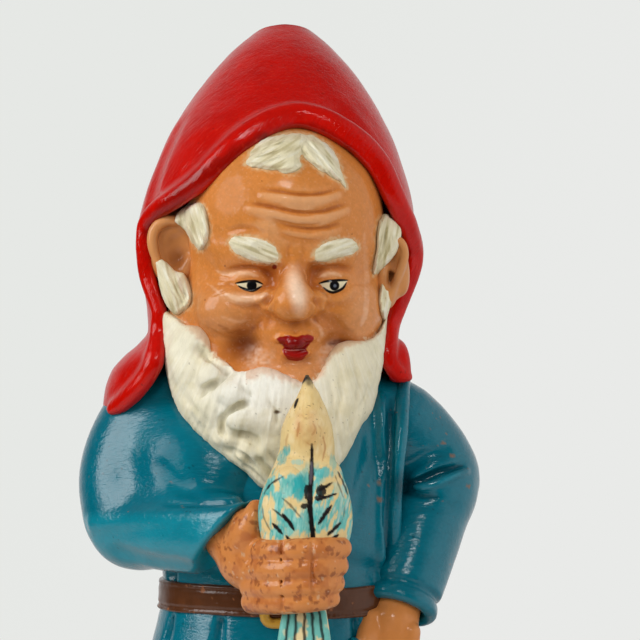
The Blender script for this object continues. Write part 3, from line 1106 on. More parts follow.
# ------------------------------------------------------------------ ears
def make_ear(name, node, sx):
    if sx < 0:
        c = G(171, 247, -21)
        v = Vol(c - [17, 17, 24], c + [17, 17, 24], 0.5)
        v.add(Ell(c, (12.5, 8.5, 18.5), rot(y=6, z=-20)))
        v.add(Ell(G(186, 262, -20), (9, 8, 15)), 5)
        rim = [G(*p) for p in ((166, 278, -27), (157.5, 262, -29), (152.8, 246, -29.5), (153.2, 233, -29.5), (159, 224.5, -29.5), (168, 220.5, -29.5), (178, 222.5, -28), (186, 231, -26))]
        v.add(Ell(G(184, 230, -17), (9, 8, 12)), 5)
        v.cut(Ell(G(173, 247, -32.5), (8.2, 6.0, 11.5), rot(y=8)), 3.5)
        v.cut(Ell(G(179, 257, -31), (5.0, 6.0, 5.0)), 3.0)
        v.add(Tube(curve(rim, 5), np.interp(np.linspace(0, 1, 36), [0, .3, .8, 1], [2.0, 2.7, 2.8, 1.8])[:len(curve(rim, 5))]), 1.8)
        v.add(Tube(curve([G(166, 262, -25), G(164, 248, -25.5), G(168, 236, -26), G(177, 231, -26)], 4), 1.7), 2.2)
        v.add(Tube([G(190, 262, -26), G(186, 270, -27)], [3.4, 3.2]), 2.5)
        v.add(Ell(G(172, 280, -25), (6.5, 5.0, 6.0)), 3)
        spots = ((172, 244), (17, 15), (178, 262), (11, 9))
    else:
        c = G(394.5, 262, -18)
        v = Vol(c - [16, 18, 25], c + [14, 16, 25], 0.5)
        v.add(Ell(c, (6.6, 8.0, 17.5), rot(y=-14, z=25)))
        v.add(Ell(G(386, 282, -19), (7, 8, 14)), 5)
        v.add(Ell(G(384, 256, -13), (8, 9, 24)), 5)
        rim = [G(*p) for p in ((384, 308, -22), (389, 297, -24), (394, 285, -25), (400, 271, -25.5), (404.5, 258, -25.5), (404, 247.5, -26), (399, 240.5, -26), (391, 240, -25))]
        v.cut(Ell(G(394, 262, -29), (4.2, 6.0, 10.5), rot(y=-14)), 2.2)
        v.cut(Ell(G(390.5, 279, -26.5), (3.0, 7.0, 4.6)), 1.6)
        v.add(Tube(curve(rim, 5), 2.0), 1.8)
        v.add(Tube([G(384, 276, -24), G(383, 286, -24)], [2.6, 2.8]), 2.2)
        spots = ((394, 262), (9, 13), (391, 280), (6, 8))
    v.ripple(lambda W, L: 0.15 * fbm(W, 7.0, 3.0, 2), 2.0)

    def paint(q):
        col = coat_of(len(q["a"]), c8(208, 138, 78))
        lay(col, smooth(q["hol"], 0.3, 1.8) * 0.5, c8(138, 74, 30))
        lay(col, spot(q, spots[0], spots[1], 0.8) * 0.40, c8(156, 100, 60))
        lay(col, spot(q, spots[2], spots[3], 0.8) * 0.6, c8(118, 54, 12))
        lay(col, smooth(-q["hol"], 0.1, 1.2) * 0.3, c8(226, 168, 116))
        return col
    return piece(name, node, v, paint, M_SKIN, 2)


make_ear("ear_right_fired", "ear_right", -1)
make_ear("ear_left_fired", "ear_left", 1)

# side hair: tufts before and behind the ears
def pads_solid(name, node, specs, paint, mat):
    """Tufts of modelled hair that stand on their own: outline, depth range, spine."""
    ab = np.vstack([np.array(o[0], float) for o in specs])
    lo = G(ab[:, 0].min() - 10, ab[:, 1].max() + 10, -20)
    hi = G(ab[:, 0].max() + 10, ab[:, 1].min() - 10, -20)
    v = Vol((lo[0] - 2, -56, lo[2] - 2), (hi[0] + 2, -4, hi[2] + 2), 0.45)
    L, W = grid_world(v)
    a, b = proj(W)
    Wf = W.astype(F)
    bd = hv.samp(hv.local(W)).astype(F)
    tot = np.full(len(L), 30.0, F)
    for (outline, y_mid, y_half, lift, spine, sh, sw) in specs:
        o = curve(list(outline) + [outline[0]], 4)[:-1]
        pd = polyd(o, a, b) * 0.5
        ds, al, side = lined(curve(spine, 6), a, b)
        coord = np.stack([side / sw, al / (sw * 9.0), 0 * side], 1)
        st = noise(coord, 1.0, 5.0) + 0.5 * noise(coord * np.array([2.1, 2.1, 1], F), 1.0, 2.0)
        pd = pd + 0.4 * st
        ym = y_mid(a, b) if callable(y_mid) else y_mid
        prof = np.sqrt(np.clip(-pd, 0, 6) / 6.0)
        dy = np.abs(Wf[:, 1] - ym) - (y_half * (0.35 + 0.65 * prof) + sh * st)
        own = np.maximum(pd * 0.9, dy * 0.8)
        onhead = np.maximum(bd - (lift * np.sqrt(np.clip(smooth(-pd, -0.2, 2.4), 0, 1)) + sh * st), pd * 0.9)
        tot = smin(tot, smin(own, onhead, 2.0), 1.0)
    full = tot
    v.d = full.reshape(v.n).astype(F)
    return piece(name, node, v, paint, mat, 1)


pads_solid("side_hair_right_painted", "side_hair_right", [
    (TUFT_A,
     -30.0, 6.5, 2.8, [(190, 196), (190, 212), (196, 230), (202, 252)], 0.95, 2.0),
    (TUFT_B,
     -30.0, 6.0, 2.8, [(160, 254), (166, 272), (176, 292), (186, 316)], 0.95, 2.0)], paint_hair(0.8, (72,)), M_CREAM)
pads_solid("side_hair_left_painted", "side_hair_left", [
    (TUFT_C,
     -24.0, 6.0, 2.6, [(388, 208), (388, 228), (385, 250), (372, 280)], 0.95, 2.0),
    (TUFT_D,
     -22.0, 5.5, 2.4, [(386, 276), (387, 292), (384, 325)], 0.95, 2.0)], paint_hair(0.8, (100,)), M_CREAM)
note("ears and side hair")

# ------------------------------------------------------------------ hood
qh = 1.1
v = Vol((-100, -70, 238), (84, 70, 455), qh)
v.d = hood_out(v.ax[0][:, None, None], v.ax[1][None, :, None], v.ax[2][None, None, :]).astype(F)
v.even()
v.d = -smin(-v.d, (451.0 - v.ax[2])[None, None, :].astype(F) + 0 * v.d, 4.0)
inner = Vol((-100, -70, 238), (84, 70, 455), qh)
inner.d = Stack(HOOD, grow=-7.5)(inner.ax[0][:, None, None], inner.ax[1][None, :, None], inner.ax[2][None, None, :]).astype(F)
inner.even()
Xg, Yg, Zg = v.ax[0][:, None, None], v.ax[1][None, :, None], v.ax[2][None, None, :]
# gentle folds that run from the crown to the shoulders
for ln, r, dp in (([(176, 130), (160, 165), (150, 200), (146, 240), (148, 290)], 9, 0.9),
                  ([(340, 112), (372, 150), (394, 190), (401, 214)], 9, 1.0)):
    v.groove(ln, r, dp, 6.0)
cav = np.maximum(inner.d, Yg - 14)
v.d = -smin(-v.d, cav, 2.0)
op = np.vstack([rim_xz, [(86, 222), (-104, 222)]])
opn = np.maximum(polyd(op, v.ax[0][:, None], v.ax[2][None, :])[:, None, :] + 0 * Yg, Yg + 9)
v.d = -smin(-v.d, opn, 4.0)
# rolled rim
dxz = np.gradient(rim_xz, axis=0)
nrm = np.stack([-dxz[:, 1], dxz[:, 0]], 1)
nrm /= np.linalg.norm(nrm, axis=1, keepdims=True)
rim_r = np.interp(np.arange(len(RIM)), [0, 3, 6, 10, 13, 16, 19, 22, 25, 28, 31, len(RIM) - 1],
                  [3.6, 4.4, 3.4, 3.4, 4.6, 6.2, 6.4, 6.2, 5.0, 3.6, 3.6, 3.6])
rc = rim_xz + nrm * rim_r[:, None]
ry = np.array([float(hood_out.front(rc[i, 0], rc[i, 1])[0]) for i in range(len(rc))])
ry = np.where(np.isfinite(ry), ry, rim_y)
ry = 0.5 * ry + 0.5 * rim_y
ry = np.minimum(ry, -6) + rim_r - 1.8
rim_path = curve(np.stack([rc[:, 0], ry, rc[:, 1]], 1), 4)
v.add(Tube(rim_path, np.interp(np.linspace(0, 1, len(rim_path)), np.linspace(0, 1, len(rim_r)), rim_r)), 5.0)
v.add(Ell(G(399.5, 361, -2), (4.2, 8, 9)), 8.0)         # the cape spreads on the figure's left shoulder
# hem of the shoulder cape: lower over the figure's right shoulder
hem = (243.5 + (Xg + 84) * (17.5 / 150.0) - 3.0 * np.clip((Yg + 10) / 50, 0, 1)) - Zg + 0 * Yg
v.d = -smin(-v.d, -hem.astype(F), 3.5)
v.ripple(lambda W, L: 0.5 * fbm(W, 26.0, 2.0, 2) + 0.10 * noise(W, 5.0, 3.0), 3.0)


def paint_hood(q):
    col = coat_of(len(q["a"]), C_RED)
    W, hol = q["W"], q["hol"]
    lay(col, smooth(hol, 0.12, 1.5) * 0.82, C_REDDARK)
    lay(col, smooth(fbm(W, 22.0, 4.0, 2), 0.1, 0.7) * 0.30, c8(212, 28, 8))
    lay(col, smooth(fbm(W, 9.0, 7.0, 3), 0.2, 0.8) * 0.25, c8(172, 6, 2))
    ins = inner.samp(W.astype(float))
    lay(col, smooth(-ins, -3.0, 0.5) * 0.6, c8(120, 4, 2))
    # shaded band round the opening, the paint thin and brownish there
    wv = 2.0 * noise(W, 4.0, 3.0)
    for pts, wd, st in (([(150, 232), (162, 213), (176, 198), (192, 184), (210, 171), (228, 160), (246, 150), (262, 139)], 15, 0.62),
                        ([(262, 139), (285, 129), (310, 127), (330, 134), (348, 150)], 8, 0.5),
                        ([(348, 150), (362, 170), (374, 192), (384, 215), (392, 240)], 12, 0.5)):
        d_, t_, s_ = lined(curve(pts, 5), q["a"], q["b"])
        lay(col, (1 - smooth(d_ + wv, wd * 0.25, wd * 0.75)) * st * (q["N"][:, 1] < 0.35), c8(112, 10, 4))
    # grime along the hem and a few rubbed places
    lay(col, smooth(fbm(W, 3.0, 3.0, 3), 0.52, 0.62) * (1 - smooth(W[:, 2], 250, 262)) * 0.6, c8(96, 40, 20))
    lay(col, smooth(noise(W, 1.2, 11.0), 0.86, 0.93) * 0.7, c8(90, 16, 10))
    lay(col, smooth(noise(W, (0.7, 0.7, 1.6), 12.0), 0.5, 0.9) * 0.20, c8(226, 66, 40))
    col[:, 3] *= 1 - 0.75 * spot(q, (403, 366), (13, 20), 0.6)
    col[:, 3] *= 1 - 0.85 * smooth(W[:, 2], 445, 449.5)
    return col


piece("hood_fired", "hood", v, paint_hood, M_RED, 3)
note("hood")

# ------------------------------------------------------------------ beard
BEARD = [(162.5, 312), (162, 325), (163, 340), (164.5, 361), (169.5, 388), (178.5, 410), (193, 429), (212, 447), (226, 459), (242, 470), (254, 481), (266, 490),
         (281, 496), (297, 498), (313, 492), (326, 481), (337, 469), (346, 456), (354.5, 440), (361.5, 425), (371, 413), (375, 402), (378, 389),
         (381.5, 372), (383.5, 358), (385.5, 340), (387, 322), (388, 308)]
BEARD_TOP = [(384, 320), (379, 331), (371, 338.5), (358, 343), (344, 348), (333, 355), (326, 363), (320, 374), (311, 381), (300, 383.5),
             (283, 380), (272, 374), (262, 371), (254, 375.5), (244, 380), (234, 375), (224, 364), (214, 354), (201, 341), (190, 330), (177, 318), (167, 311)]
v = Vol((-68, -74, 196), (64, 4, 306), 0.6)
L, W = grid_world(v)
a_, b_ = proj(W)
out = np.vstack([curve(BEARD, 3), curve(BEARD_TOP, 3)])
side_o = polyd(np.array(out), a_.astype(F), b_.astype(F)) * 0.5
side_o = side_o.astype(F) + 0.22 * noise(W.astype(F), 2.6, 3.0) * smooth(b_, 380, 420).astype(F)
Xb, Yb, Zb = v.ax[0][:, None, None], v.ax[1][None, :, None], v.ax[2][None, None, :]
body = smin(Stack(JAW, grow=0.6)(Xb, Yb, Zb) * F(0.93), Ell((33, -31, 275), (18.2, 18.2, 18))(Xb, Yb, Zb), 8)
skin = hv.samp(hv.local(W)).astype(F).reshape(v.n)
skin_l = skin - F(1.6) * np.sqrt(np.clip(smooth(-side_o, -0.2, 6.0), 0, 1)).reshape(v.n).astype(F) - 0.2
full = smin(body, skin_l, 7)
v.d = -smin(-full, -side_o.reshape(v.n), 2.6)
v.d = v.d.astype(F)
del L, W, a_, b_, body, skin, skin_l, full
note("beard base")
# curls: bulges and grooves
for c, r, hh, k in (((184, 352), (10, 7, 12), 1.8, 5), ((213, 376), (9, 6.5, 9), 3.0, 3), ((186, 372), (8, 6, 8), 1.0, 4),
                    ((258, 396), (20, 8, 13), 2.6, 8), ((240, 420), (8, 6, 6.5), 3.0, 2.5), ((206, 408), (9, 6, 8), 1.6, 4), ((232, 393), (8, 6, 6.5), 2.4, 2.5),
                    ((226, 440), (8, 6, 5), 1.6, 3), ((262, 446), (9, 6, 7), 1.8, 4), ((264, 424), (10, 6, 7), 1.5, 4), ((246, 456), (8, 5, 4), 1.2, 2.5),
                    ((352, 372), (12, 7, 14), 1.0, 6), ((344, 410), (12, 7, 16), 1.2, 6), ((196, 340), (7, 5, 8), 0.8, 4)):
    v.lump(c, r, hh * 1.35, k)
for ln, r, dp, k in (([(197, 348), (207, 355), (219, 362), (227, 368)], 2.6, 2.2, 2.0),
                     ([(227, 368), (224, 376), (217, 383), (205, 389), (197, 396)], 2.4, 2.3, 1.8),
                     ([(248, 404), (238, 406), (227, 412), (221, 421)], 2.0, 2.2, 1.4),
                     ([(222, 421), (221, 430), (226, 437)], 1.8, 1.3, 1.4),
                     ([(236, 434), (245, 436), (254, 441), (258, 449)], 2.6, 2.0, 2.0),
                     ([(229, 450), (240, 455), (249, 462), (256, 470)], 1.8, 1.4, 1.4),
                     ([(214, 436), (224, 448), (238, 461)], 1.8, 0.45, 1.6),
                     ([(258, 458), (265, 467), (272, 477), (276, 487)], 1.8, 1.3, 1.4), ([(268, 452), (277, 464), (281, 478)], 1.5, 0.9, 1.2),
                     ([(244, 466), (255, 474), (266, 486)], 1.4, 0.9, 1.0),
                     ([(184, 396), (194, 409), (206, 421)], 2.2, 0.4, 2.0),
                     ([(240, 384), (246, 391), (252, 396)], 1.6, 0.8, 1.4), ([(270, 402), (276, 413), (277, 424)], 1.5, 0.9, 1.2),
                     ([(338, 366), (342, 390), (338, 412), (332, 432)], 1.6, 0.6, 1.4), ([(352, 360), (358, 384), (354, 410), (346, 436)], 1.6, 0.6, 1.4),
                     ([(366, 352), (370, 374), (366, 396), (358, 414)], 1.6, 0.6, 1.4), ([(330, 384), (332, 406), (328, 430)], 1.4, 0.5, 1.2),
                     ([(376, 344), (378, 362), (375, 384)], 1.4, 0.5, 1.2)):
    v.groove(ln, r, dp * 1.6, k)
v.dent((277.5, 412), (1.6, 2.0, 1.0), 1.3, 0.6)


def beard_flow(W, L):
    a, b = proj(W)
    wx = 5.0 * noise(W, 14.0, 1.0)
    ang = (a + wx - 290) / np.maximum(b - 170, 60)
    rad = b + 6.0 * noise(W, 17.0, 6.0)
    c1 = np.stack([ang * 66.0, rad / 26.0, 0 * a], 1).astype(F)
    c2 = np.stack([ang * 120.0, rad / 15.0, 0 * a + 4], 1).astype(F)
    left = 1 - smooth(a, 295, 335)
    st = 0.30 * noise(c1, 1.0, 2.0) + 0.10 * noise(c2, 1.0, 5.0)
    return 1.15 * st * (0.7 + 0.2 * left) * smooth(b, 318, 345) + 0.34 * fbm(W, 5.5, 3.0, 2)


v.ripple(beard_flow, 2.6)
beard_vol = v


def paint_beard(q):
    n = len(q["a"])
    a, b, W, hol = q["a"], q["b"], q["W"], q["hol"]
    col = coat_of(n, c8(232, 224, 196))
    lay(col, spot(q, (262, 392), (46, 30), 0.9) * 0.8, c8(250, 249, 240))
    lay(col, spot(q, (185, 352), (20, 24), 0.8) * 0.45, c8(240, 235, 212))
    lay(col, smooth(a, 320, 360) * 0.45, c8(226, 217, 188))
    lay(col, smooth(b, 415, 470) * 0.35, c8(214, 204, 172))
    lay(col, smooth(hol, 0.10, 1.2) * 0.72, c8(160, 150, 116))
    lay(col, smooth(hol, 0.9, 2.2) * 0.42, c8(122, 112, 80))
    lay(col, smooth(fbm(W, 6.0, 9.0, 3), 0.08, 0.55) * 0.30, c8(208, 196, 150))
    ang = (a - 290) / np.maximum(b - 170, 60)
    st = noise(np.stack([ang * 150.0, b / 30.0, 0 * a], 1).astype(F), 1.0, 7.0)
    lay(col, smooth(st, 0.25, 0.9) * 0.15, c8(196, 184, 150))
    lay(col, smooth(fbm(W, (9.0, 9.0, 12.0), 17.0, 2), 0.0, 0.6) * (1 - smooth(a, 250, 300)) * smooth(b, 370, 420) * 0.35, c8(206, 200, 164))
    lay(col, smooth(-st, 0.25, 0.9) * 0.20, c8(250, 250, 242))
    # dirt specks
    lay(col, smooth(noise(W, 0.8, 5.0), 0.80, 0.90) * 0.6 * smooth(fbm(W, 14.0, 2.0, 2), -0.15, 0.3), c8(108, 88, 60))
    lay(col, spot(q, (277.5, 412), (3.2, 1.6), 0.6) * 0.8, c8(92, 62, 36))
    # the airbrushed skin tone runs a little over the white along the chin
    tip = polyd(np.array(SKIN_EDGE), a, b)
    lay(col, (1 - smooth(tip + 3.0 * noise(W, 1.5, 6.0), -2.0, 7.0)) * (b > 352) * (a > 246) * (a < 326) * 0.55, c8(216, 164, 126))
    lay(col, (1 - smooth(tip + 2.0 * noise(W, 1.2, 6.0), -2.0, 3.5)) * (b <= 366) * 0.5, c8(206, 150, 100))
    col[:, 3] = 0.6
    return col


piece("beard_fired", "beard", v, paint_beard, M_CREAM, 1)
# ------------------------------------------------------------------ coat
def paint_coat(q, chips=()):
    W, hol, a, b = q["W"], q["hol"], q["a"], q["b"]
    col = coat_of(len(a), C_TEAL)
    lay(col, smooth(hol, 0.2, 2.0) * 0.85, C_TEALDARK)
    lay(col, smooth(-hol, 0.2, 1.6) * 0.25, c8(16, 128, 144))
    lay(col, smooth(fbm(W, 16.0, 4.0, 3), 0.05, 0.6) * 0.30, c8(0, 90, 108))
    lay(col, smooth(fbm(W, 24.0, 8.0, 2), 0.1, 0.6) * 0.30, c8(10, 122, 138))
    # rubbed through to the clay: small chips on the ridges
    chip = smooth(fbm(W, 2.0, 6.0, 2), 0.66, 0.72) * smooth(fbm(W, 19.0, 3.0, 2) - 0.25 * hol, 0.2, 0.5)
    lay(col, chip * 0.85, C_CLAY)
    col[:, 3] *= 1 - 0.8 * chip
    for (ca, cb, r) in chips:
        d = np.sqrt((a - ca) ** 2 + (b - cb) ** 2) + 1.6 * noise(W, 1.0, 3.0)
        m = (1 - smooth(d, r * 0.3, r * 0.9)) * (q["N"][:, 1] < 0.2)
        lay(col, m * 0.7, c8(150, 104, 70))
        col[:, 3] *= 1 - 0.8 * m
    fr = 1 - smooth(q["N"][:, 1], 0.0, 0.4)                # only what faces the viewer
    lay(col, spot(q, (404, 485), (11, 13), 0.8) * (W[:, 0] > 30) * fr * 0.62, c8(0, 32, 44))
    lay(col, mark(q, [(402, 486), (412, 483), (423, 478), (433, 473.5), (443, 470), (462, 466)], 6, 2.5) * fr * 0.62, c8(0, 44, 58))
    lay(col, mark(q, [(402, 491), (412, 494), (423, 496.5), (438, 497)], 5, 2.5) * fr * 0.5, c8(0, 48, 62))
    lay(col, mark(q, [(412, 486), (421, 487), (432, 485), (444, 480), (460, 473)], 4, 2.5) * fr * 0.4, c8(40, 140, 160))
    lay(col, mark(q, [(390.5, 400), (390, 425), (389, 456), (388, 490), (387.5, 560)], 7, 3) * fr * 0.5, c8(0, 58, 74))
    lay(col, smooth(b, 508, 522) * (1 - smooth(b, 560, 600)) * (1 - smooth(a, 225, 262)) * fr * 0.55, c8(20, 144, 162))
    col[:, 3] *= 1 - 0.78 * spot(q, (178, 466), (24, 40), 0.7) * fr
    col[:, 3] *= 1 - 0.5 * spot(q, (218, 478), (34, 24), 0.7) * fr
    # dark specks in the film
    lay(col, smooth(noise(W, 1.0, 9.0), 0.84, 0.92) * 0.7, c8(4, 36, 46))
    return col


ch = 1.15
COATR = [(99, 1, 2, 70.5, 56.5), (104, 1, 2, 71.5, 57.5), (112, 1, 2, 71, 57), (124, 1, 2, 68.5, 55), (140, 1, 2, 64.5, 52), (152, 1, 2, 62, 50.5), (164, 1, 2, 62.5, 51),
         (182, 0, 1, 63, 53.5), (205, 0, 1, 61, 53), (226, 0, 2, 57.5, 48.5), (244, 1, 4, 50.5, 43), (256, 1, 5, 42, 37), (264, 1, 5, 33, 32)]
v = Vol((-78, -66, 95), (80, 66, 268), ch)
Xg, Yg, Zg = v.ax[0][:, None, None], v.ax[1][None, :, None], v.ax[2][None, None, :]
v.d = Stack(COATR)(Xg, Yg, Zg).astype(F)
v.even()
v.d = -smin(-v.d, (Zg - 99.5).astype(F) + 0 * v.d, 4)
# shoulders
v.add(Ell((-42, 4, 236), (32, 30, 22)), 12)
v.add(Ell((42, 5, 236), (27, 29, 21)), 12)
# front drapery on the figure's left of the beard: two upright folds
v.roll([(380.5, 396), (381, 430), (381, 460), (380.5, 500), (380.5, 560), (382, 600)], 2.9, 3.0, 2.6, taper=False)
v.add(Tube([G(*p) for p in ((404, 378, 2), (402.5, 402, -12), (400.5, 430, -23), (397.5, 454, -28), (395.5, 474, -29), (394, 500, -27.5), (393.5, 535, -24), (396, 570, -16))], [3.5, 4.0, 4.2, 4.3, 4.3, 4.2, 4.0, 3.0]), 5.5)
v.groove([(390.5, 398), (390, 425), (389, 456), (388, 490), (387.5, 550)], 2.4, 3.0, 1.8, taper=False)
v.groove([(373, 420), (370, 450), (362, 480), (356, 510)], 4.0, 1.2, 4.0)
# belly folds above the belt
v.groove([(200, 560), (230, 572), (262, 578)], 4, 1.4, 4)
v.groove([(345, 560), (372, 570), (402, 572)], 4, 1.4, 4)
# skirt: soft box pleats all round, opening flare
for k_ in range(11):
    t_ = 2 * math.pi * (k_ + 0.35) / 11
    p0 = (1 + 60.5 * math.cos(t_), 2 + 49.5 * math.sin(t_), 142)
    p1 = (1 + 71.5 * math.cos(t_), 2 + 57.5 * math.sin(t_), 98)
    v.cut(Tube([p0, ((p0[0] + p1[0]) / 2 * 1.03, (p0[1] + p1[1]) / 2 * 1.03, 122), p1], [0.8, 2.6, 4.2]), 5)
for k_ in range(9):
    t_ = 2 * math.pi * (k_ + 0.1) / 9
    if -2.6 < math.atan2(math.sin(t_), math.cos(t_)) < -0.5:
        continue
    v.cut(Tube([(60 * math.cos(t_), 2 + 51 * math.sin(t_), 162), (64.5 * math.cos(t_ + 0.07), 2 + 54.5 * math.sin(t_ + 0.07), 184),
                (61.5 * math.cos(t_ + 0.02), 2 + 52.5 * math.sin(t_ + 0.02), 214)], [2.4, 1.9, 0.9]), 6)
# front closing edge below and above the belt
v.groove([(300, 520), (299, 560), (298, 600), (297, 650), (296, 705)], 1.4, 1.0, 1.0)
v.ripple(lambda W, L: 0.35 * fbm(W, 24.0, 5.0, 2) + 0.08 * noise(W, 5.0, 3.0), 3.0)
coat_vol = v
piece("coat_fired", "coat_body", v, lambda q: paint_coat(q, [(379, 482, 3.5), (380, 500, 4.5), (369, 486, 1.5)]), M_TEAL, 3)
note("coat")

# ------------------------------------------------------------------ sleeves
sh_ = 0.95
v = Vol((-108, -104, 158), (6, 36, 272), sh_)
up = [(-64, 4, 243), (-72, 2, 228), (-77, -1, 212), (-76, -6, 198), (-73, -9, 191)]
v.add(Tube(curve(up, 5), np.interp(np.linspace(0, 1, 21), [0, .3, .6, 1], [27, 27.5, 27, 25.5])))
fw = [(-74, -8, 191), (-60, -26, 189), (-42, -48, 188), (-25, -67, 187.5), (-12, -80, 186)]
v.add(Tube(curve(fw, 5), np.interp(np.linspace(0, 1, 21), [0, .5, 1], [24.0, 21.5, 18.4])), 7)
v.add(Ell((-50, -22, 222), (26, 22, 26), rot(z=-25)), 12)
v.add(Ell((-30, -28, 213), (27, 24, 25)), 9)        # cloth bulging over the chest
v.add(Ell((-41, -29, 216), (24, 20, 22)), 10)
v.soften([(168, 458, 62, 54, 1.0)], 5.0)
# crease in the bend of the arm, running from the shoulder down to the cuff
v.groove([(160, 466), (170, 476), (182, 487), (196, 498)], 4.0, 0.7, 4.0)
v.groove([(168, 505), (190, 505.5), (210, 505), (228, 503), (244, 499), (259, 494)], 3.2, 3.4, 2.0)
v.roll([(92, 524), (130, 518), (170, 515), (210, 513), (240, 508), (258, 502)], 5.0, 1.5, 3.5)
v.groove([(120, 552), (150, 560), (190, 566)], 5.0, 1.2, 5.0)
# back of the elbow
v.cut(Tube([(-104, 6, 206), (-98, 20, 200), (-84, 26, 198)], 3.2), 5)
v.cut(Tube([(-103, 0, 192), (-98, 16, 186), (-86, 20, 184)], 3.0), 5)
# cuff: cut square to the wrist, rolled edge, hollow end
d_ = np.array([0.645, -0.343, -0.686]); d_ /= np.linalg.norm(d_)
cpt = np.array([-19.8, -81.0, 199.0])
Xg, Yg, Zg = v.ax[0][:, None, None], v.ax[1][None, :, None], v.ax[2][None, None, :]
pl = ((Xg - cpt[0]) * d_[0] + (Yg - cpt[1]) * d_[1] + (Zg - cpt[2]) * d_[2]).astype(F)
v.d = -smin(-v.d, -pl, 2.5)
v.cut(Ell((-20, -76, 178), (16, 16, 14)), 2.0)
v.ripple(lambda W, L: 0.22 * fbm(W, 24.0, 7.0, 2) + 0.07 * noise(W, 4.5, 3.0), 3.0)
sleeve_r_vol = v
piece("sleeve_right_fired", "sleeve_right", v, lambda q: paint_coat(q, [(103, 474, 1.6), (183, 507, 1.4), (158, 468, 1.0)]), M_TEAL, 3)

v = Vol((20, -46, 128), (108, 42, 274), sh_)
up = [(45, 6, 243.5), (58, 8, 239), (70, 11, 228), (78.5, 12, 215), (78, 8, 205)]
v.add(Tube(curve(up, 5), np.interp(np.linspace(0, 1, 21), [0, .3, .7, 1], [22.0, 23.3, 23.0, 23.0])))
fw = [(78, 9, 208), (74, 0, 190), (67, -12, 168), (60.5, -22, 149), (58.5, -25, 143)]
v.add(Tube(curve(fw, 5), np.interp(np.linspace(0, 1, 21), [0, .5, 1], [23.0, 20.5, 17.8])), 7)
# creases fanning out from the inside of the elbow
v.groove([(401, 478), (407, 468), (413, 463), (421, 458), (430, 454), (446, 450)], 3.0, 2.6, 2.6)
v.groove([(402, 496), (413, 500.5), (424, 503.5), (439, 506), (456, 507)], 3.2, 1.2, 2.6)
v.dent((402.5, 484), (5, 7, 8), 3.6, 3.5)
v.groove([(402, 487), (412, 483), (423, 478), (433, 473.5), (443, 470), (463, 466)], 2.3, 4.4, 1.6)
v.roll([(411, 486.5), (421, 487), (432, 485), (444, 480), (456, 475), (467, 470.5)], 2.4, 2.3, 1.2)
v.groove([(402, 490), (410, 493.5), (421, 496), (437, 497)], 2.0, 2.4, 1.6)
v.cut(Tube([(100, 12, 200), (96, 24, 194), (82, 34, 192)], 3.2), 5)
v.cut(Tube([(98, 8, 184), (92, 20, 180), (80, 26, 178)], 3.0), 5)
d_ = np.array([-0.27, -0.45, -0.85]); d_ /= np.linalg.norm(d_)
cpt = np.array([59.5, -24.0, 146.0])
Xg, Yg, Zg = v.ax[0][:, None, None], v.ax[1][None, :, None], v.ax[2][None, None, :]
pl = ((Xg - cpt[0]) * d_[0] + (Yg - cpt[1]) * d_[1] + (Zg - cpt[2]) * d_[2]).astype(F)
v.d = -smin(-v.d, -pl, 2.5)
u_ = np.cross(d_, [0, 1.0, 0]); u_ /= np.linalg.norm(u_); w_ = np.cross(u_, d_)
ring = [cpt - d_ * 2.0 + 16.4 * (math.cos(t) * u_ + math.sin(t) * w_) for t in np.linspace(0, 2 * math.pi, 33)]
v.add(Tube(ring, 3.2), 2.5)
ring2 = [cpt - d_ * 8.5 + 19.4 * (math.cos(t) * u_ + math.sin(t) * w_) for t in np.linspace(0, 2 * math.pi, 33)]
v.cut(Tube(ring2, 1.8), 2.0)
v.cut(Ell(cpt + d_ * 1.0, (13, 13, 13)), 1.5)
v.ripple(lambda W, L: 0.22 * fbm(W, 22.0, 1.0, 2) + 0.07 * noise(W, 4.5, 3.0), 3.0)
sleeve_l_vol = v
piece("sleeve_left_fired", "sleeve_left", v, lambda q: paint_coat(q, [(444, 443, 3.4), (452.5, 456, 3.2), (469, 486, 3.0), (433, 452, 1.2), (447, 433, 1.2)]), M_TEAL, 3)
note("sleeves")
# ------------------------------------------------------------------ bird
BY = -89.0
BIRD = [(150, 12.8, BY + 0.5, 6.5, 5.0), (158, 12.8, BY, 10, 8.5), (168, 12.8, BY, 14.5, 13), (180, 12.8, BY, 19, 17), (190.5, 13.2, BY, 21.6, 19),
        (198, 12.8, BY, 22.4, 19.3), (206, 12.6, BY, 21.6, 18.6), (212, 12.6, BY + 0.5, 19.8, 17.4), (219.7, 13.0, BY + 1, 16.4, 15.6), (225, 13.2, BY + 1.6, 14.4, 14.4),
        (231.7, 13.9, BY + 2.2, 13.2, 13.4), (238.9, 13.9, BY + 2.4, 12.5, 13.0), (247, 14.1, BY + 2.4, 10.1, 11.0), (251.5, 14.4, BY + 2, 7.9, 8.6),
        (255.6, 14.6, BY + 1.4, 5.8, 6.4), (260, 14.3, BY + 0.6, 3.9, 4.4), (263.5, 14.0, BY - 0.2, 2.2, 2.6), (265.8, 13.8, BY - 0.6, 0.9, 1.1)]
v = Vol((-14, -114, 146), (42, -64, 272), 0.5)
Xg, Yg, Zg = v.ax[0][:, None, None], v.ax[1][None, :, None], v.ax[2][None, None, :]
v.d = Stack(BIRD)(Xg, Yg, Zg).astype(F)
v.even()
v.d = np.maximum(v.d, Zg - 266.2).astype(F)
# nape, shoulders, the seam of the folded wings down the back
v.groove([(291, 384), (300, 388), (312, 388), (319, 384)], 2.0, 0.5, 2.0)
v.groove([(281, 452), (296, 460), (316, 461), (335, 455)], 3.5, 0.7, 3.5)
v.lump((290, 478), (9, 6, 10), 1.0, 5)
v.lump((330, 476), (9, 6, 10), 1.0, 5)
v.lump((308, 430), (8, 6, 9), 0.7, 5)
v.ripple(lambda W, L: 0.22 * fbm(W, 8.0, 4.0, 2) + 0.06 * noise(W, 2.2, 3.0), 2.0)
bird_vol = v

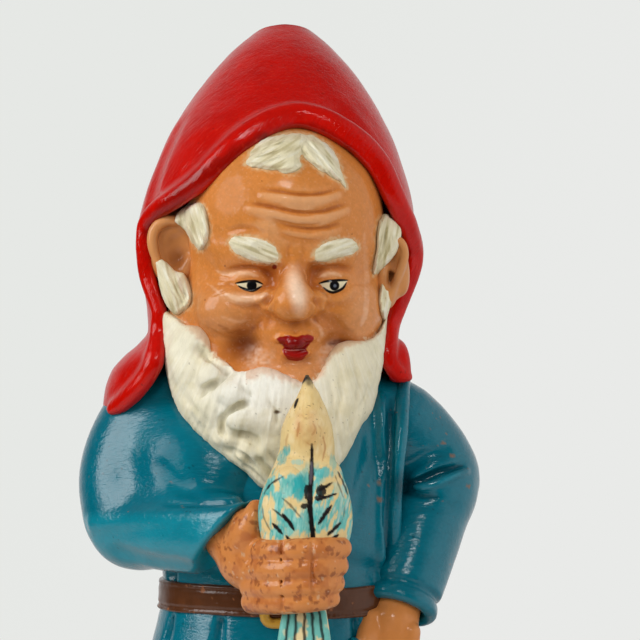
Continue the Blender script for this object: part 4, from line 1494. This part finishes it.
STROKES = [([(311.8, 444), (311.8, 458), (311.6, 474), (310.4, 490), (310, 505), (311, 519), (313, 536), (314, 560), (314, 590)], 5.2, 1.0),
           ([(318.6, 490.5), (325, 487), (332.5, 482.5)], 3.0, 1.0), ([(318, 499.5), (326, 497), (336, 493.6)], 2.8, 1.0),
           ([(318, 524.5), (324, 515.5), (331.5, 505.5)], 4.2, 1.0), ([(328, 534.5), (334, 529), (341, 523)], 3.8, 1.0),
           ([(282, 498), (290, 505), (300.5, 517)], 2.6, 0.65), ([(282.5, 514), (288, 521), (294, 530)], 4.2, 1.0),
           ([(272.5, 509), (278, 513), (283.5, 517.5)], 2.4, 0.9), ([(272, 523), (277, 528), (282.5, 534)], 3.4, 1.0),
           ([(267, 489), (272, 483), (283, 476.5)], 1.8, 0.9), ([(264, 494), (268, 487), (274, 482)], 1.4, 0.6), ([(338, 471.5), (343, 482), (347.5, 494)], 2.0, 0.9),
           ([(335, 475), (339, 486), (343, 497)], 1.3, 0.6), ([(345, 506), (343, 518), (336, 530)], 1.4, 0.5),
           ([(262, 505), (264, 518), (270, 530)], 1.6, 0.6), ([(286, 536), (292, 545), (298, 556)], 4.0, 1.0), ([(322, 548), (330, 541), (338, 535)], 3.8, 1.0),
           ([(274, 545), (281, 553), (288, 562)], 3.4, 0.9), ([(318, 566), (328, 558), (340, 548)], 3.6, 1.0), ([(330, 578), (338, 570), (346, 560)], 3.0, 0.9)]


def paint_bird(q):
    a, b, W, hol = q["a"], q["b"], q["W"], q["hol"]
    back = q["N"][:, 1] < 0.15
    col = coat_of(len(a), c8(228, 200, 140))
    lay(col, smooth(fbm(W, 4.0, 2.0, 3), 0.0, 0.5) * 0.4, c8(226, 194, 128))
    lay(col, smooth(-fbm(W, 6.0, 5.0, 2), 0.1, 0.6) * 0.4, c8(244, 226, 182))
    # nape rubbed brown
    for c, r, s_, cc in (((307, 437), (9, 10), 0.45, (196, 142, 78)), ((299, 426), (4, 10), 0.5, (204, 140, 84)), ((313, 428), (4, 13), 0.4, (204, 146, 92)),
                         ((308, 414), (9, 6), 0.35, (212, 164, 100)), ((322, 440), (3, 14), 0.3, (200, 140, 84))):
        lay(col, spot(q, c, r, 0.9) * s_ * 1.1 * (0.9 + 0.5 * noise(W, 1.8, 2.0)), c8(*cc))
    for pts, w_, s_ in (([(299, 423), (298, 430), (297, 436)], 2.6, 0.6), ([(323, 436), (325, 447), (322.5, 461)], 1.8, 0.6), ([(306, 442), (311, 445), (316, 443)], 1.8, 0.35),
                        ([(313, 423), (315.5, 429), (312, 435)], 2.2, 0.45), ([(288, 434), (286, 443), (287, 452)], 1.8, 0.4), ([(302, 415), (306, 419), (311, 417)], 1.6, 0.3),
                        ([(318, 425), (321, 430), (320, 436)], 1.4, 0.35)):
        lay(col, mark(q, pts, w_, 1.0, 5, 0.5) * s_, c8(176, 112, 56))
    # turquoise, dabbed on wet: patchy from the shoulders down
    dry = noise(np.stack([(a - 311) / 3.2 + b / 16.0, (b - 440) / 11.0 + np.abs(a - 311) / 9.0, 0 * a], 1).astype(F), 1.0, 3.0)
    dry2 = noise(np.stack([(a - 311) / 1.3 + b / 9.0, (b - 440) / 7.0 + np.abs(a - 311) / 5.0, 0 * a], 1).astype(F), 1.0, 6.0)
    t = fbm(W, (6.0, 6.0, 9.0), 7.0, 3) + 0.34 * dry + 0.22 * dry2
    lower = smooth(b, 458, 480)
    lay(col, smooth(dry2 + 0.5 * dry, 0.25, 0.8) * 0.35, c8(212, 172, 104))
    tq = smooth(t + 0.34 * lower - 0.20, 0.0, 0.24) * lower
    lay(col, tq * 0.92, c8(84, 184, 178))
    lay(col, tq * smooth(-dry2 + 0.4 * dry, 0.1, 0.7) * 0.6, c8(28, 158, 166))
    lay(col, tq * smooth(dry2 - 0.5 * dry, 0.2, 0.8) * 0.55, c8(176, 218, 206))
    lay(col, lower * smooth(dry, 0.45, 0.9) * 0.5, c8(240, 232, 204))
    lay(col, smooth(fbm(W, 4.0, 3.0, 2), 0.15, 0.5) * lower * 0.4, c8(150, 206, 192))
    lay(col, mark(q, [(289, 446), (285, 453), (280, 463)], 9, 2.0, 5, 2.0) * 0.85 * (0.8 + 0.4 * dry2), c8(78, 172, 170))
    lay(col, smooth(spot(q, (299, 489), (7, 13), 0.6) + 0.3 * dry2, 0.35, 0.75) * 0.9, c8(34, 166, 168))
    lay(col, smooth(spot(q, (322, 473), (11, 6), 0.6) + 0.4 * dry2, 0.35, 0.8) * 0.8, c8(70, 180, 180))
    lay(col, smooth(spot(q, (297, 462), (7, 3), 0.6) + 0.4 * dry2, 0.35, 0.9) * 0.6, c8(140, 202, 194))
    lay(col, smooth(spot(q, (333, 462), (3.5, 8), 0.6) + 0.4 * dry2, 0.35, 0.9) * 0.6, c8(110, 190, 184))
    lay(col, smooth(hol, 0.3, 1.6) * 0.4, c8(176, 140, 92))
    # black: stripe down the back with barbs, eye, beak tip
    for pts, w, s_ in STROKES:
        lay(col, mark(q, pts, w, 1.0, 6, 0.7) * s_ * back, C_BLACK)
    for c, r in (((321, 491), (5.0, 6.5)), ((307, 492), (3.0, 8.0)), ((304.5, 506), (3.8, 2.8)), ((319, 498), (5.0, 3.0))):
        lay(col, smooth(spot(q, c, r, 0.45) + 0.28 * noise(W, 0.9, 4.0), 0.42, 0.58) * back * 0.95, C_BLACK)
    lay(col, mark(q, [(311.5, 462), (311.2, 474), (310.4, 484)], 3.0, 1.0) * back * 0.7, c8(104, 98, 108))
    lay(col, mark(q, [(294.6, 408), (296, 403), (298, 398.5)], 2.8, 0.9), C_BLACK)
    tip = (1 - smooth(b + 3.0 * noise(W, 1.8, 2.0) - 0.35 * (a - 307), 379, 388)) * (a < 313)
    lay(col, tip * 0.9, c8(34, 22, 18))
    lay(col, mark(q, [(307, 377), (302, 382), (298, 388)], 3.2, 1.0) * 0.95, C_BLACK)
    lay(col, smooth(noise(W, 0.8, 5.0), 0.74, 0.84) * 0.7 * (1 - 0.6 * lower), c8(120, 76, 36))
    col[:, 3] = 0.7
    return col


# body without the wings' top layer
piece("bird_body_fired", "bird_body", bird_vol, paint_bird, M_BIRD, 2)
note("bird body")
WING_R = [(286, 466), (277, 470), (268, 480), (262, 492), (258, 506), (257, 520), (259, 534), (264, 548), (272, 562), (282, 578), (294, 592), (304, 600),
          (310, 596), (310.5, 576), (310, 556), (309, 536), (307.5, 516), (307, 500), (306, 486), (302, 474), (295, 467)]
WING_L = [(322, 464), (331, 464), (339, 471), (346, 482), (351, 495), (353.5, 510), (353, 526), (349, 542), (343, 557), (334, 574), (324, 590), (316, 600),
          (313, 594), (313, 576), (313.5, 556), (313.5, 536), (312.5, 516), (312.5, 500), (313, 486), (315, 472)]


def wing(name, node, outline, spine):
    b_ = bird_vol
    v = Vol((-16, -116, 150), (42, -62, 232), 0.5)
    L, W = grid_world(v)
    bd = b_.samp(W).astype(F)
    a, b = proj(W)
    Wf = W.astype(F)
    o = curve(list(outline) + [outline[0]], 3)[:-1]
    pd = polyd(o, a.astype(F), b.astype(F)) * 0.5
    side_far = Wf[:, 1] > -74
    ds, al, side = lined(curve(spine, 6), a, b)
    coord = np.stack([side / 7.0, al / 60.0, 0 * side], 1)
    st = noise(coord, 1.0, 3.0)
    T = 1.7 * np.sqrt(np.clip(smooth(-pd, -0.2, 3.4), 0, 1)) + 0.16 * st
    d = np.maximum(bd - T, pd * 0.9)
    d = np.maximum(d, -(bd + 2.0))
    d = np.where(side_far, np.maximum(d, Wf[:, 1] + 74), d)
    v.d = d.reshape(v.n).astype(F)
    return piece(name, node, v, paint_bird, M_BIRD, 2)


wing("wing_right_fired", "bird_wing_right", WING_R, [(292, 468), (276, 500), (280, 540), (308, 596)])
wing("wing_left_fired", "bird_wing_left", WING_L, [(322, 468), (340, 500), (334, 540), (314, 596)])

# tail: a flat spread of five feathers below the hand
v = Vol((-8, -112, 130), (34, -80, 182), 0.5)
for i_, t_ in enumerate((-2, -1, 0, 1, 2)):
    x0, x1 = 12.5 + t_ * 2.2, 12.5 + t_ * 4.6
    v.add(Tube([(x0, BY - 2, 178), (12.5 + t_ * 3.2, BY - 7.2 + abs(t_) * 0.5, 158), (x1, BY - 12.5 + abs(t_) * 0.8, 137.5 + abs(t_) * 1.6)], [3.0, 3.4, 3.5]), 0.9)
Xg, Yg, Zg = v.ax[0][:, None, None], v.ax[1][None, :, None], v.ax[2][None, None, :]
yc = BY - 2 - (178 - Zg) * 0.26
v.d = -smin(-v.d, -(np.abs(Yg - yc - 0.6) - 2.6).astype(F) + 0 * v.d, 1.0)
v.d = v.d.astype(F)


def paint_tail(q):
    W = q["W"]
    col = coat_of(len(W), c8(226, 206, 156))
    lay(col, smooth(fbm(W, (4.0, 4.0, 8.0), 7.0, 3), -0.1, 0.1) * 0.9, c8(84, 182, 176))
    for t_ in (-2, -1, 0, 1, 2):
        xc = 12.5 + t_ * (2.2 + 2.4 * np.clip((178 - W[:, 2]) / 40, 0, 1))
        m = 1 - smooth(np.abs(W[:, 0] - xc + 0.5 * noise(W, 3.0, 2.0)), 0.4, 1.0)
        lay(col, m * (q["N"][:, 1] < 0) * 0.9, C_BLACK)
    lay(col, smooth(q["hol"], 0.1, 1.0) * 0.5, c8(90, 70, 50))
    col[:, 3] = 0.7
    return col


piece("bird_tail_fired", "bird_tail", v, paint_tail, M_BIRD, 1)
note("bird")

# ------------------------------------------------------------------ hands
def paint_hand(worn):
    def f(q):
        W, hol = q["W"], q["hol"]
        col = coat_of(len(W), c8(206, 130, 68))
        lay(col, smooth(hol, 0.2, 1.6) * 0.6, c8(132, 62, 18))
        lay(col, smooth(-hol, 0.1, 1.2) * 0.25, c8(226, 164, 108))
        if worn:
            t = fbm(W, 5.0, 4.0, 3)
            lay(col, smooth(t, -0.05, 0.35) * 0.6, c8(178, 98, 48))
            lay(col, smooth(fbm(W, 2.6, 9.0, 3), 0.22, 0.42) * 0.7, c8(132, 66, 36))
            lay(col, smooth(-fbm(W, 2.4, 2.0, 2), 0.5, 0.62) * 0.45, c8(214, 186, 150))
        return col
    return f


v = Vol((-40, -116, 148), (40, -52, 206), 0.65)
v.add(Ell((-9, -80, 174), (21, 14, 14), rot(z=-28)))
v.add(Tube([(-24, -70, 186), (-14, -78, 180)], [12.5, 13]), 6)
v.add(Ell((-14, -83, 190), (9.5, 10, 12), rot(y=-20)), 5)
for i_, (z_, r_) in enumerate(((183.5, 6.0), (175.0, 6.2), (166.8, 6.0), (159.4, 5.3))):
    ky = -1.4 * (1.5 - abs(i_ - 1.2))
    pts = [(-12, -84 + ky, z_ - 2.5), (-3.5, -98.5 + ky, z_ - 1.2), (9, -107.2 + ky * 0.6, z_), (22 - i_ * 1.2, -106.6 + ky * 0.3, z_ + 0.6), (30 - i_ * 1.6, -101.2, z_ + 1.0)]
    v.add(Tube(curve(pts, 4), np.interp(np.linspace(0, 1, 17), [0, .3, .55, .8, 1], [r_ + .8, r_ + .5, r_ + .2, r_ - .1, r_ - .9])), 1.0)
v.add(Tube(curve([(-20, -80, 182), (-15.5, -88, 190), (-12.5, -89, 197), (-10.5, -87, 201.5)], 4), np.interp(np.linspace(0, 1, 13), [0, .5, 1], [7.6, 6.4, 4.8])), 2.5)
for i_, z_ in enumerate((183.5, 175.0, 166.8, 159.4)):               # knuckle creases and nails
    for fx, fy in ((2.5, -104.8), (16.5, -108.8)):
        v.cut(Tube([(fx, fy - 3.9, z_ - 3.4), (fx - 0.4, fy - 5.2, z_ + 0.4), (fx, fy - 3.9, z_ + 4.2)], 0.8), 1.2)
v.ripple(lambda W, L: 0.2 * fbm(W, 7.0, 4.0, 2), 2.0)
piece("hand_right_fired", "hand_right", v, paint_hand(True), M_SKIN, 2)

v = Vol((34, -52, 110), (78, -8, 166), 0.75)
v.add(Tube([(60, -21, 152), (57, -29, 140)], [12.5, 12.5]))
v.add(Ell((55.5, -33, 131), (13.5, 9.5, 15), rot(x=-8, y=8)), 5)
for i_ in range(4):
    x_ = 46.5 + i_ * 6.0
    v.add(Tube([(x_ + 1, -37, 136), (x_ - 0.5, -38.5, 118)], [5.0, 4.4]), 1.6)
v.add(Tube([(46, -34, 142), (42.5, -40.5, 132), (42.0, -43, 124)], [5.6, 5.2, 4.4]), 2.2)
v.ripple(lambda W, L: 0.2 * fbm(W, 7.0, 4.0, 2), 2.0)
piece("hand_left_fired", "hand_left", v, paint_hand(False), M_SKIN, 2)
note("hands")
# ------------------------------------------------------------------ belt, buckle, pocket
def paint_leather(base, dark):
    def f(q):
        W, hol = q["W"], q["hol"]
        col = coat_of(len(W), base)
        lay(col, smooth(hol, 0.1, 1.2) * 0.7, dark)
        lay(col, smooth(fbm(W, 8.0, 4.0, 3), 0.1, 0.6) * 0.35, np.asarray(base) * 1.5)
        ch = smooth(fbm(W, 2.6, 6.0, 2) - 0.15 * hol, 0.62, 0.68)
        lay(col, ch * 0.8, C_CLAY)
        col[:, 3] *= 1 - 0.8 * ch
        return col
    return f


v = Vol((-72, -60, 138), (74, 60, 166), 0.9)
Xg, Yg, Zg = v.ax[0][:, None, None], v.ax[1][None, :, None], v.ax[2][None, None, :]
v.d = Stack([(r[0], r[1], r[2], r[3] + 2.4, r[4] + 2.4) for r in COATR])(Xg, Yg, Zg).astype(F)
v.even()
inn = Vol((-72, -60, 138), (74, 60, 166), 0.9)
inn.d = Stack([(r[0], r[1], r[2], r[3] - 3.0, r[4] - 3.0) for r in COATR])(Xg, Yg, Zg).astype(F)
inn.even()
band = np.abs(Zg - 152 + 0.8 * np.sin(Xg / 19.0)) - 7.6
v.d = -smin(-v.d, -band.astype(F) + 0 * v.d, 2.0)
v.d = np.maximum(v.d, -inn.d)
# pressed border lines
for dz in (-4.9, 4.9):
    ring = []
    for t in np.linspace(0, 2 * math.pi, 73):
        x = 1 + 64.9 * math.cos(t)
        ring.append((x, 2 + 53.4 * math.sin(t), 152 - 0.8 * math.sin(x / 19.0) + dz))
    v.cut(Tube(ring, 0.85), 0.8)
v.ripple(lambda W, L: 0.22 * fbm(W, 9.0, 4.0, 2), 2.0)
piece("belt_fired", "belt", v, paint_leather(c8(84, 46, 22), c8(34, 16, 8)), M_BROWN, 2)

v = Vol((-16, -64, 136), (24, -40, 168), 0.5)
cx_, cy_ = 4.0, -52.5
def rrect(w, h, r, z0=152.0):
    pts = []
    for (sx, sz, a0) in ((1, 1, 0), (-1, 1, 90), (-1, -1, 180), (1, -1, 270)):
        for k in range(5):
            t = math.radians(a0 + 22.5 * k)
            pts.append((cx_ + sx * (w / 2 - r) + r * math.cos(t), cy_, z0 + sz * (h / 2 - r) + r * math.sin(t)))
    return pts + [pts[0]]
v.add(Tube(rrect(23.0, 20.0, 4.0), 2.3))
v.add(Tube([(p[0], p[1] + 2.5, p[2]) for p in rrect(23.0, 20.0, 4.0)], 2.6), 1.0)
v.ripple(lambda W, L: 0.12 * fbm(W, 4.0, 4.0, 2), 2.0)
def paint_buckle(q):
    col = coat_of(len(q["W"]), c8(196, 148, 56))
    lay(col, smooth(q["hol"], 0.1, 0.9) * 0.7, c8(96, 58, 20))
    lay(col, smooth(fbm(q["W"], 3.0, 4.0, 3), 0.25, 0.5) * 0.6, c8(150, 96, 34))
    return col
piece("buckle_fired", "belt_buckle", v, paint_buckle, M_OCHRE, 1)
v = Vol((-12, -62, 144), (20, -44, 160), 0.45)
v.add(Tube([(-6.5, -53.5, 152), (4, -55.6, 152), (13.5, -54.6, 152)], [1.9, 1.8, 1.3]))
v.add(Tube([(-7.2, -52.5, 148.5), (-7.2, -52.5, 155.5)], 2.2), 1.0)
piece("buckle_prong_fired", "belt_prong", v, paint_buckle, M_OCHRE, 1)

v = Vol((26, -62, 98), (84, -10, 142), 0.7)
L, W = grid_world(v)
bd = coat_vol.samp(W).astype(F)
Wf = W.astype(F)
PK = [(35.5, 134.5), (52, 131.5), (67, 128), (68, 118), (65.5, 110), (59, 105.5), (50, 104.8), (42, 106.5), (36.5, 111.5), (35, 122)]
pd = polyd(curve(PK + [PK[0]], 4)[:-1], Wf[:, 0], Wf[:, 2]).astype(F)
T = 3.0 * np.sqrt(np.clip(smooth(-pd, -0.2, 2.6), 0, 1)) + 1.6 * np.exp(-((Wf[:, 2] - 129.5 + (Wf[:, 0] - 52) * 0.2) / 2.6) ** 2)
T = T - 0.8 * np.exp(-((pd + 3.0) / 0.7) ** 2) + 3.2 * np.exp(-(((Wf[:, 0] - 54) / 11) ** 2 + ((Wf[:, 2] - 124) / 9) ** 2))
d = np.maximum(bd - T, pd)
d = np.maximum(d, -(bd + 2.0))
v.d = np.where(Wf[:, 1] > 0, 30, d).reshape(v.n).astype(F)
piece("pocket_fired", "coat_pocket_left", v, lambda q: paint_coat(q), M_TEAL, 2)
del L, W, bd
note("belt and pocket")

# ------------------------------------------------------------------ trousers, boots
def make_leg(name, node, sx):
    v = Vol((sx * 31 - 34, -28, 70), (sx * 31 + 34, 44, 114), 1.0)
    x = sx * 31
    rows = [(72, x, 8, 20, 21), (78, x, 8, 24.5, 25.5), (83, x, 8, 28, 29), (89, x, 8, 28.6, 30), (96, x, 7.5, 27.5, 29), (108, x, 7, 27, 28.5), (112, x, 7, 27, 28)]
    Xg, Yg, Zg = v.ax[0][:, None, None], v.ax[1][None, :, None], v.ax[2][None, None, :]
    v.d = Stack(rows)(Xg, Yg, Zg).astype(F)
    v.even()
    v.d = -smin(-v.d, -np.maximum(74 - Zg, Zg - 111).astype(F) + 0 * v.d, 3)
    for k_ in range(9):
        t_ = 2 * math.pi * (k_ + 0.2 * sx) / 9
        v.cut(Tube([(x + 21 * math.cos(t_), 8 + 22 * math.sin(t_), 74), (x + 28.8 * math.cos(t_), 8 + 30.2 * math.sin(t_), 84),
                    (x + 29.5 * math.cos(t_ + 0.1), 8 + 31 * math.sin(t_ + 0.1), 96)], [2.2, 2.2, 0.8]), 3.0)
    v.ripple(lambda W, L: 0.35 * fbm(W, 11.0, 2.0 + sx, 2), 2.5)
    piece(name, node, v, paint_leather(c8(104, 72, 44), c8(50, 30, 16)), M_BROWN, 2)


make_leg("trouser_right_fired", "trouser_leg_right", -1)
make_leg("trouser_left_fired", "trouser_leg_left", 1)


def make_boot(name, node, sx):
    x = sx * 31
    v = Vol((x - 36, -66, 20), (x + 36, 40, 86), 0.85)
    toe = np.array([x + sx * 5.5, -37, 24 + 13])
    v.add(Ell(toe, (19.5, 24, 14.5), rot(z=sx * 10)))
    v.add(Ell((x + sx * 2, -8, 24 + 14), (18, 36, 15.5), rot(z=sx * 8)), 8)
    v.add(Ell((x, 12, 24 + 12), (18.5, 18, 16)), 6)
    rows = [(22, x, 8, 18, 20), (40, x, 8, 18.4, 20.4), (52, x, 8.5, 19.2, 20.8), (62, x, 8.5, 21.2, 22.4), (72, x, 8.5, 23.6, 24.6), (80, x, 8.5, 25, 26)]
    Xg, Yg, Zg = v.ax[0][:, None, None], v.ax[1][None, :, None], v.ax[2][None, None, :]
    e = Stack(rows)(Xg, Yg, Zg).astype(F)
    e = np.maximum(e, (Zg - 80).astype(F) + 0 * e)
    v.d = smin(v.d, e, 9)
    # ankle creases, toe cap, turned-over top
    for z_, dy in ((46, -14), (52, -12), (41, -18)):
        v.cut(Tube([(x - 20, dy + 12, z_ + 3), (x - 9, dy - 3, z_), (x + sx * 1, dy - 7, z_ - 1), (x + 11, dy - 3, z_), (x + 20, dy + 12, z_ + 3)], [0.6, 1.6, 1.8, 1.6, 0.6]), 2.5)
    v.cut(Tube([(x + sx * 5 - 20, -30, 28), (x + sx * 5 - 14, -29, 44), (x + sx * 5, -28, 52.5), (x + sx * 5 + 14, -29, 44), (x + sx * 5 + 20, -30, 28)], 1.1), 1.2)
    ring = [(x + 25.2 * math.cos(t), 8.5 + 26.2 * math.sin(t), 73.5 + 1.6 * math.sin(t)) for t in np.linspace(0, 2 * math.pi, 41)]
    v.add(Tube(ring, 4.2), 2.0)
    ring = [(x + 25.6 * math.cos(t), 8.5 + 26.6 * math.sin(t), 66.6 + 1.6 * math.sin(t)) for t in np.linspace(0, 2 * math.pi, 41)]
    v.cut(Tube(ring, 2.0), 1.6)
    v.cut(Ell((x, 8.5, 84), (21, 22, 10)), 1.5)
    # sole: a welt all round
    sole = Ell((x + sx * 2.6, -14, 28), (22.5, 47.5, 40), rot(z=sx * 8))(Xg, Yg, Zg)
    sole = np.maximum(sole, np.abs(Zg - 26.6) - 2.7).astype(F)
    v.d = smin(v.d, sole, 0.8)
    v.d = -smin(-v.d, (Zg - 24).astype(F) + 0 * v.d, 0.6)
    v.ripple(lambda W, L: 0.35 * fbm(W, 12.0, 2.0 + sx, 2), 2.5)

    def paint(q):
        W, hol = q["W"], q["hol"]
        col = coat_of(len(W), c8(62, 34, 20))
        lay(col, smooth(hol, 0.1, 1.6) * 0.7, c8(22, 11, 7))
        lay(col, smooth(fbm(W, 9.0, 4.0, 3), 0.1, 0.6) * 0.35, c8(96, 56, 32))
        lay(col, (W[:, 2] < 29.2) * 0.85, c8(24, 17, 13))
        ch = smooth(fbm(W, 2.8, 6.0, 2) - 0.12 * hol, 0.58, 0.66)
        lay(col, ch * 0.85, C_CLAY)
        col[:, 3] *= 1 - 0.8 * ch
        return col
    piece(name, node, v, paint, M_BROWN, 2)


make_boot("boot_right_fired", "boot_right", -1)
make_boot("boot_left_fired", "boot_left", 1)
note("boots")

# ------------------------------------------------------------------ base: a grassy mound
v = Vol((-88, -73, -2), (88, 73, 30), 1.15)
Xg, Yg, Zg = v.ax[0][:, None, None], v.ax[1][None, :, None], v.ax[2][None, None, :]
ang = np.arctan2(Yg / 69.0, Xg / 84.0)
wob = 1.0 - 0.012 * (1 + np.sin(5 * ang + 0.6)) - 0.008 * (1 + np.sin(11 * ang + 2.0))
q_ = np.sqrt((Xg / (83.5 * wob)) ** 2 + (Yg / (68.5 * wob)) ** 2)
side_ = (q_ - 1) * 74
v.d = -smin(-side_.astype(F) + 0 * Zg, -(np.abs(Zg - 11.8) - 11.8).astype(F) + 0 * side_, 5.0)
v.d = np.maximum(v.d, -Zg + 0 * v.d).astype(F)
v.cut(Tube([(0, 40, -10), (0, 40, 14)], 7.0), 0.4)


def grass(W, L):
    top = smooth(W[:, 2], 15, 23)
    n1 = noise(np.stack([W[:, 0] / 2.6, W[:, 1] / 3.4, W[:, 2] / 9.0], 1), 1.0, 3.0)
    n2 = noise(np.stack([(W[:, 0] + W[:, 1]) / 4.6, (W[:, 1] - W[:, 0]) / 5.4, W[:, 2] / 9.0], 1), 1.0, 8.0)
    rim = np.sqrt((W[:, 0] / 84) ** 2 + (W[:, 1] / 69) ** 2)
    wall = (1 - top) * (W[:, 2] > 1.5)
    n3 = noise(np.stack([np.arctan2(W[:, 1], W[:, 0]) * 40.0, W[:, 2] / 7.0, 0 * rim], 1), 1.0, 5.0)
    return top * (0.7 * n1 + 0.55 * n2 - 0.1) + wall * (0.4 * n3 + 0.3 * fbm(W, 9.0, 2.0, 2))


v.ripple(grass, 3.2)
v.cut(Ell((0, 40, -30), (7, 7, 44)), 0.4)


def paint_base(q):
    W, hol = q["W"], q["hol"]
    col = coat_of(len(W), c8(74, 104, 40))
    lay(col, smooth(fbm(W, 11.0, 4.0, 3), 0.0, 0.5) * 0.6, c8(110, 132, 58))
    lay(col, smooth(-fbm(W, 14.0, 8.0, 3), 0.1, 0.6) * 0.5, c8(48, 76, 30))
    lay(col, smooth(hol, 0.05, 0.9) * 0.7, c8(34, 50, 20))
    lay(col, (1 - smooth(W[:, 2] + 3 * noise(W, 8.0, 3.0), 6, 15)) * 0.85, c8(92, 70, 44))
    ch = smooth(fbm(W, 3.2, 6.0, 2), 0.5, 0.58) * smooth(fbm(W, 20.0, 1.0, 2), 0.05, 0.35)
    lay(col, ch * 0.9, C_CLAY)
    und = (q["N"][:, 2] < -0.7).astype(float)
    lay(col, und, c8(178, 104, 64))
    col[:, 3] = np.clip(1 - 0.8 * ch - und, 0, 1)
    return col


piece("base_fired", "base", v, paint_base, M_GREEN, 1)
note("base")


# =====================================================================================================
# Stage: floor, light, camera
# =====================================================================================================
def stage():
    sc = bpy.context.scene
    me = bpy.data.meshes.new("floor")
    n, rings = 96, 24
    vs, fs = [(0, 0, 0)], []
    for r in range(1, rings + 1):
        for i in range(n):
            t = 2 * math.pi * i / n
            vs.append((0.95 * r / rings * math.cos(t), 0.95 * r / rings * math.sin(t), 0))
    for i in range(n):
        fs.append((0, 1 + i, 1 + (i + 1) % n))
    for r in range(rings - 1):
        for i in range(n):
            a0 = 1 + r * n
            fs.append((a0 + i, a0 + n + i, a0 + n + (i + 1) % n, a0 + (i + 1) % n))
    me.from_pydata(vs, [], fs)
    fl = bpy.data.objects.new("floor", me)
    sc.collection.objects.link(fl)
    fl.location = (0, 0, -0.0002)
    mat = bpy.data.materials.new("pale_floor")
    mat.use_nodes = True
    t = NT(mat)
    t.n.clear()
    out = t.new("ShaderNodeOutputMaterial")
    tc = t.n.new("ShaderNodeTexCoord")
    ln = t.n.new("ShaderNodeVectorMath")
    ln.operation = "LENGTH"
    t.link(tc.outputs["Object"], ln.inputs[0])
    fade = t.ramp(ln.outputs["Value"], 0.35, 0.92, 0.0, 1.0)
    bs = t.n.new("ShaderNodeBsdfPrincipled")
    base = t.mix(t.noise(tc.outputs["Object"], 30.0, 4.0), (0.76, 0.76, 0.75), (0.80, 0.80, 0.79))
    t.link(base, bs.inputs["Base Color"])
    bs.inputs["Roughness"].default_value = 0.6
    tr = t.n.new("ShaderNodeBsdfTransparent")
    mx = t.n.new("ShaderNodeMixShader")
    t.link(fade, mx.inputs[0])
    t.link(bs.outputs[0], mx.inputs[1])
    t.link(tr.outputs[0], mx.inputs[2])
    t.link(mx.outputs[0], out.inputs[0])
    me.materials.append(mat)

    # surroundings: pale paper behind, a big white sheet on the right, darker behind the viewer
    w = bpy.data.worlds.new("studio")
    sc.world = w
    w.use_nodes = True
    t = NT(w)
    t.n.clear()
    out = t.n.new("ShaderNodeOutputWorld")
    geo = t.n.new("ShaderNodeNewGeometry")
    sp = t.n.new("ShaderNodeSeparateXYZ")
    t.link(geo.outputs["Incoming"], sp.inputs[0])          # from the far sky towards the viewer
    dx = t.math("MULTIPLY", sp.outputs[0], -1.0)
    dy = t.math("MULTIPLY", sp.outputs[1], -1.0)
    dz = t.math("MULTIPLY", sp.outputs[2], -1.0)
    back = t.ramp(dy, 0.35, 0.97, W_FRONT, W_BACK)
    right = t.ramp(dx, 0.42, 0.95, 0.0, W_RIGHT)
    up = t.ramp(dz, 0.2, 0.95, 0.0, W_UP)
    lit = t.math("ADD", t.math("ADD", back, right), up)
    bgl = t.n.new("ShaderNodeBackground")
    bgl.inputs[0].default_value = (1.0, 0.995, 0.985, 1)
    t.link(lit, bgl.inputs[1])
    seen = t.mix(t.ramp(t.math("ADD", dx, t.math("MULTIPLY", dz, -0.6)), -0.12, 0.12), tuple(c8(230, 232, 229)), tuple(c8(233, 234, 232)))
    bgs = t.n.new("ShaderNodeBackground")
    t.link(seen, bgs.inputs[0])
    lp = t.n.new("ShaderNodeLightPath")
    mx = t.n.new("ShaderNodeMixShader")
    t.link(lp.outputs["Is Camera Ray"], mx.inputs[0])
    t.link(bgl.outputs[0], mx.inputs[1])
    t.link(bgs.outputs[0], mx.inputs[2])
    t.link(mx.outputs[0], out.inputs[0])

    def area(name, loc, aim, size, size_y, power, glossy=True, colour=(1, 1, 1)):
        l = bpy.data.lights.new(name, "AREA")
        l.shape, l.size, l.size_y, l.energy, l.color = "ELLIPSE", size, size_y, power, colour
        o = bpy.data.objects.new(name, l)
        sc.collection.objects.link(o)
        o.location = loc
        d = Vector(aim) - o.location
        o.rotation_euler = d.to_track_quat("-Z", "Y").to_euler()
        o.visible_camera = False
        o.visible_glossy = glossy
        return o

    for args in LIGHTS:
        area(*args)

    cam = bpy.data.cameras.new("camera")
    co = bpy.data.objects.new("camera", cam)
    sc.collection.objects.link(co)
    cam.sensor_width = 36.0
    cam.lens = 135.0
    cam.clip_start, cam.clip_end = 0.05, 30.0
    co.location = (EYE[0] / 1000, EYE[1] / 1000, EYE[2] / 1000)
    co.rotation_euler = (math.radians(90), 0, 0)
    sc.camera = co
    sc.view_settings.view_transform = "Standard"
    sc.view_settings.look = "None"
    sc.view_settings.exposure = 0.0
    sc.view_settings.gamma = 1.0


W_FRONT, W_BACK, W_RIGHT, W_UP = 0.01, 0.75, 0.75, 0.10
LIGHTS = [("key", (-1.25, -0.62, 0.88), (0.0, -0.02, 0.30), 1.1, 1.25, 17.5),
          ("front", (0.05, -1.35, 1.25), (0.0, 0.0, 0.30), 0.38, 0.38, 3.8),
          ("fill", (1.2, -1.0, 0.6), (0.0, 0.0, 0.28), 1.5, 1.7, 6.4, False),
          ("soft", (-0.3, -2.0, 0.9), (0.0, 0.0, 0.28), 1.7, 1.5, 8.8, False)]
stage()

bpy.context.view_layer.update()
note("done", sum(len(o.data.polygons) for o in PIECES.values()))
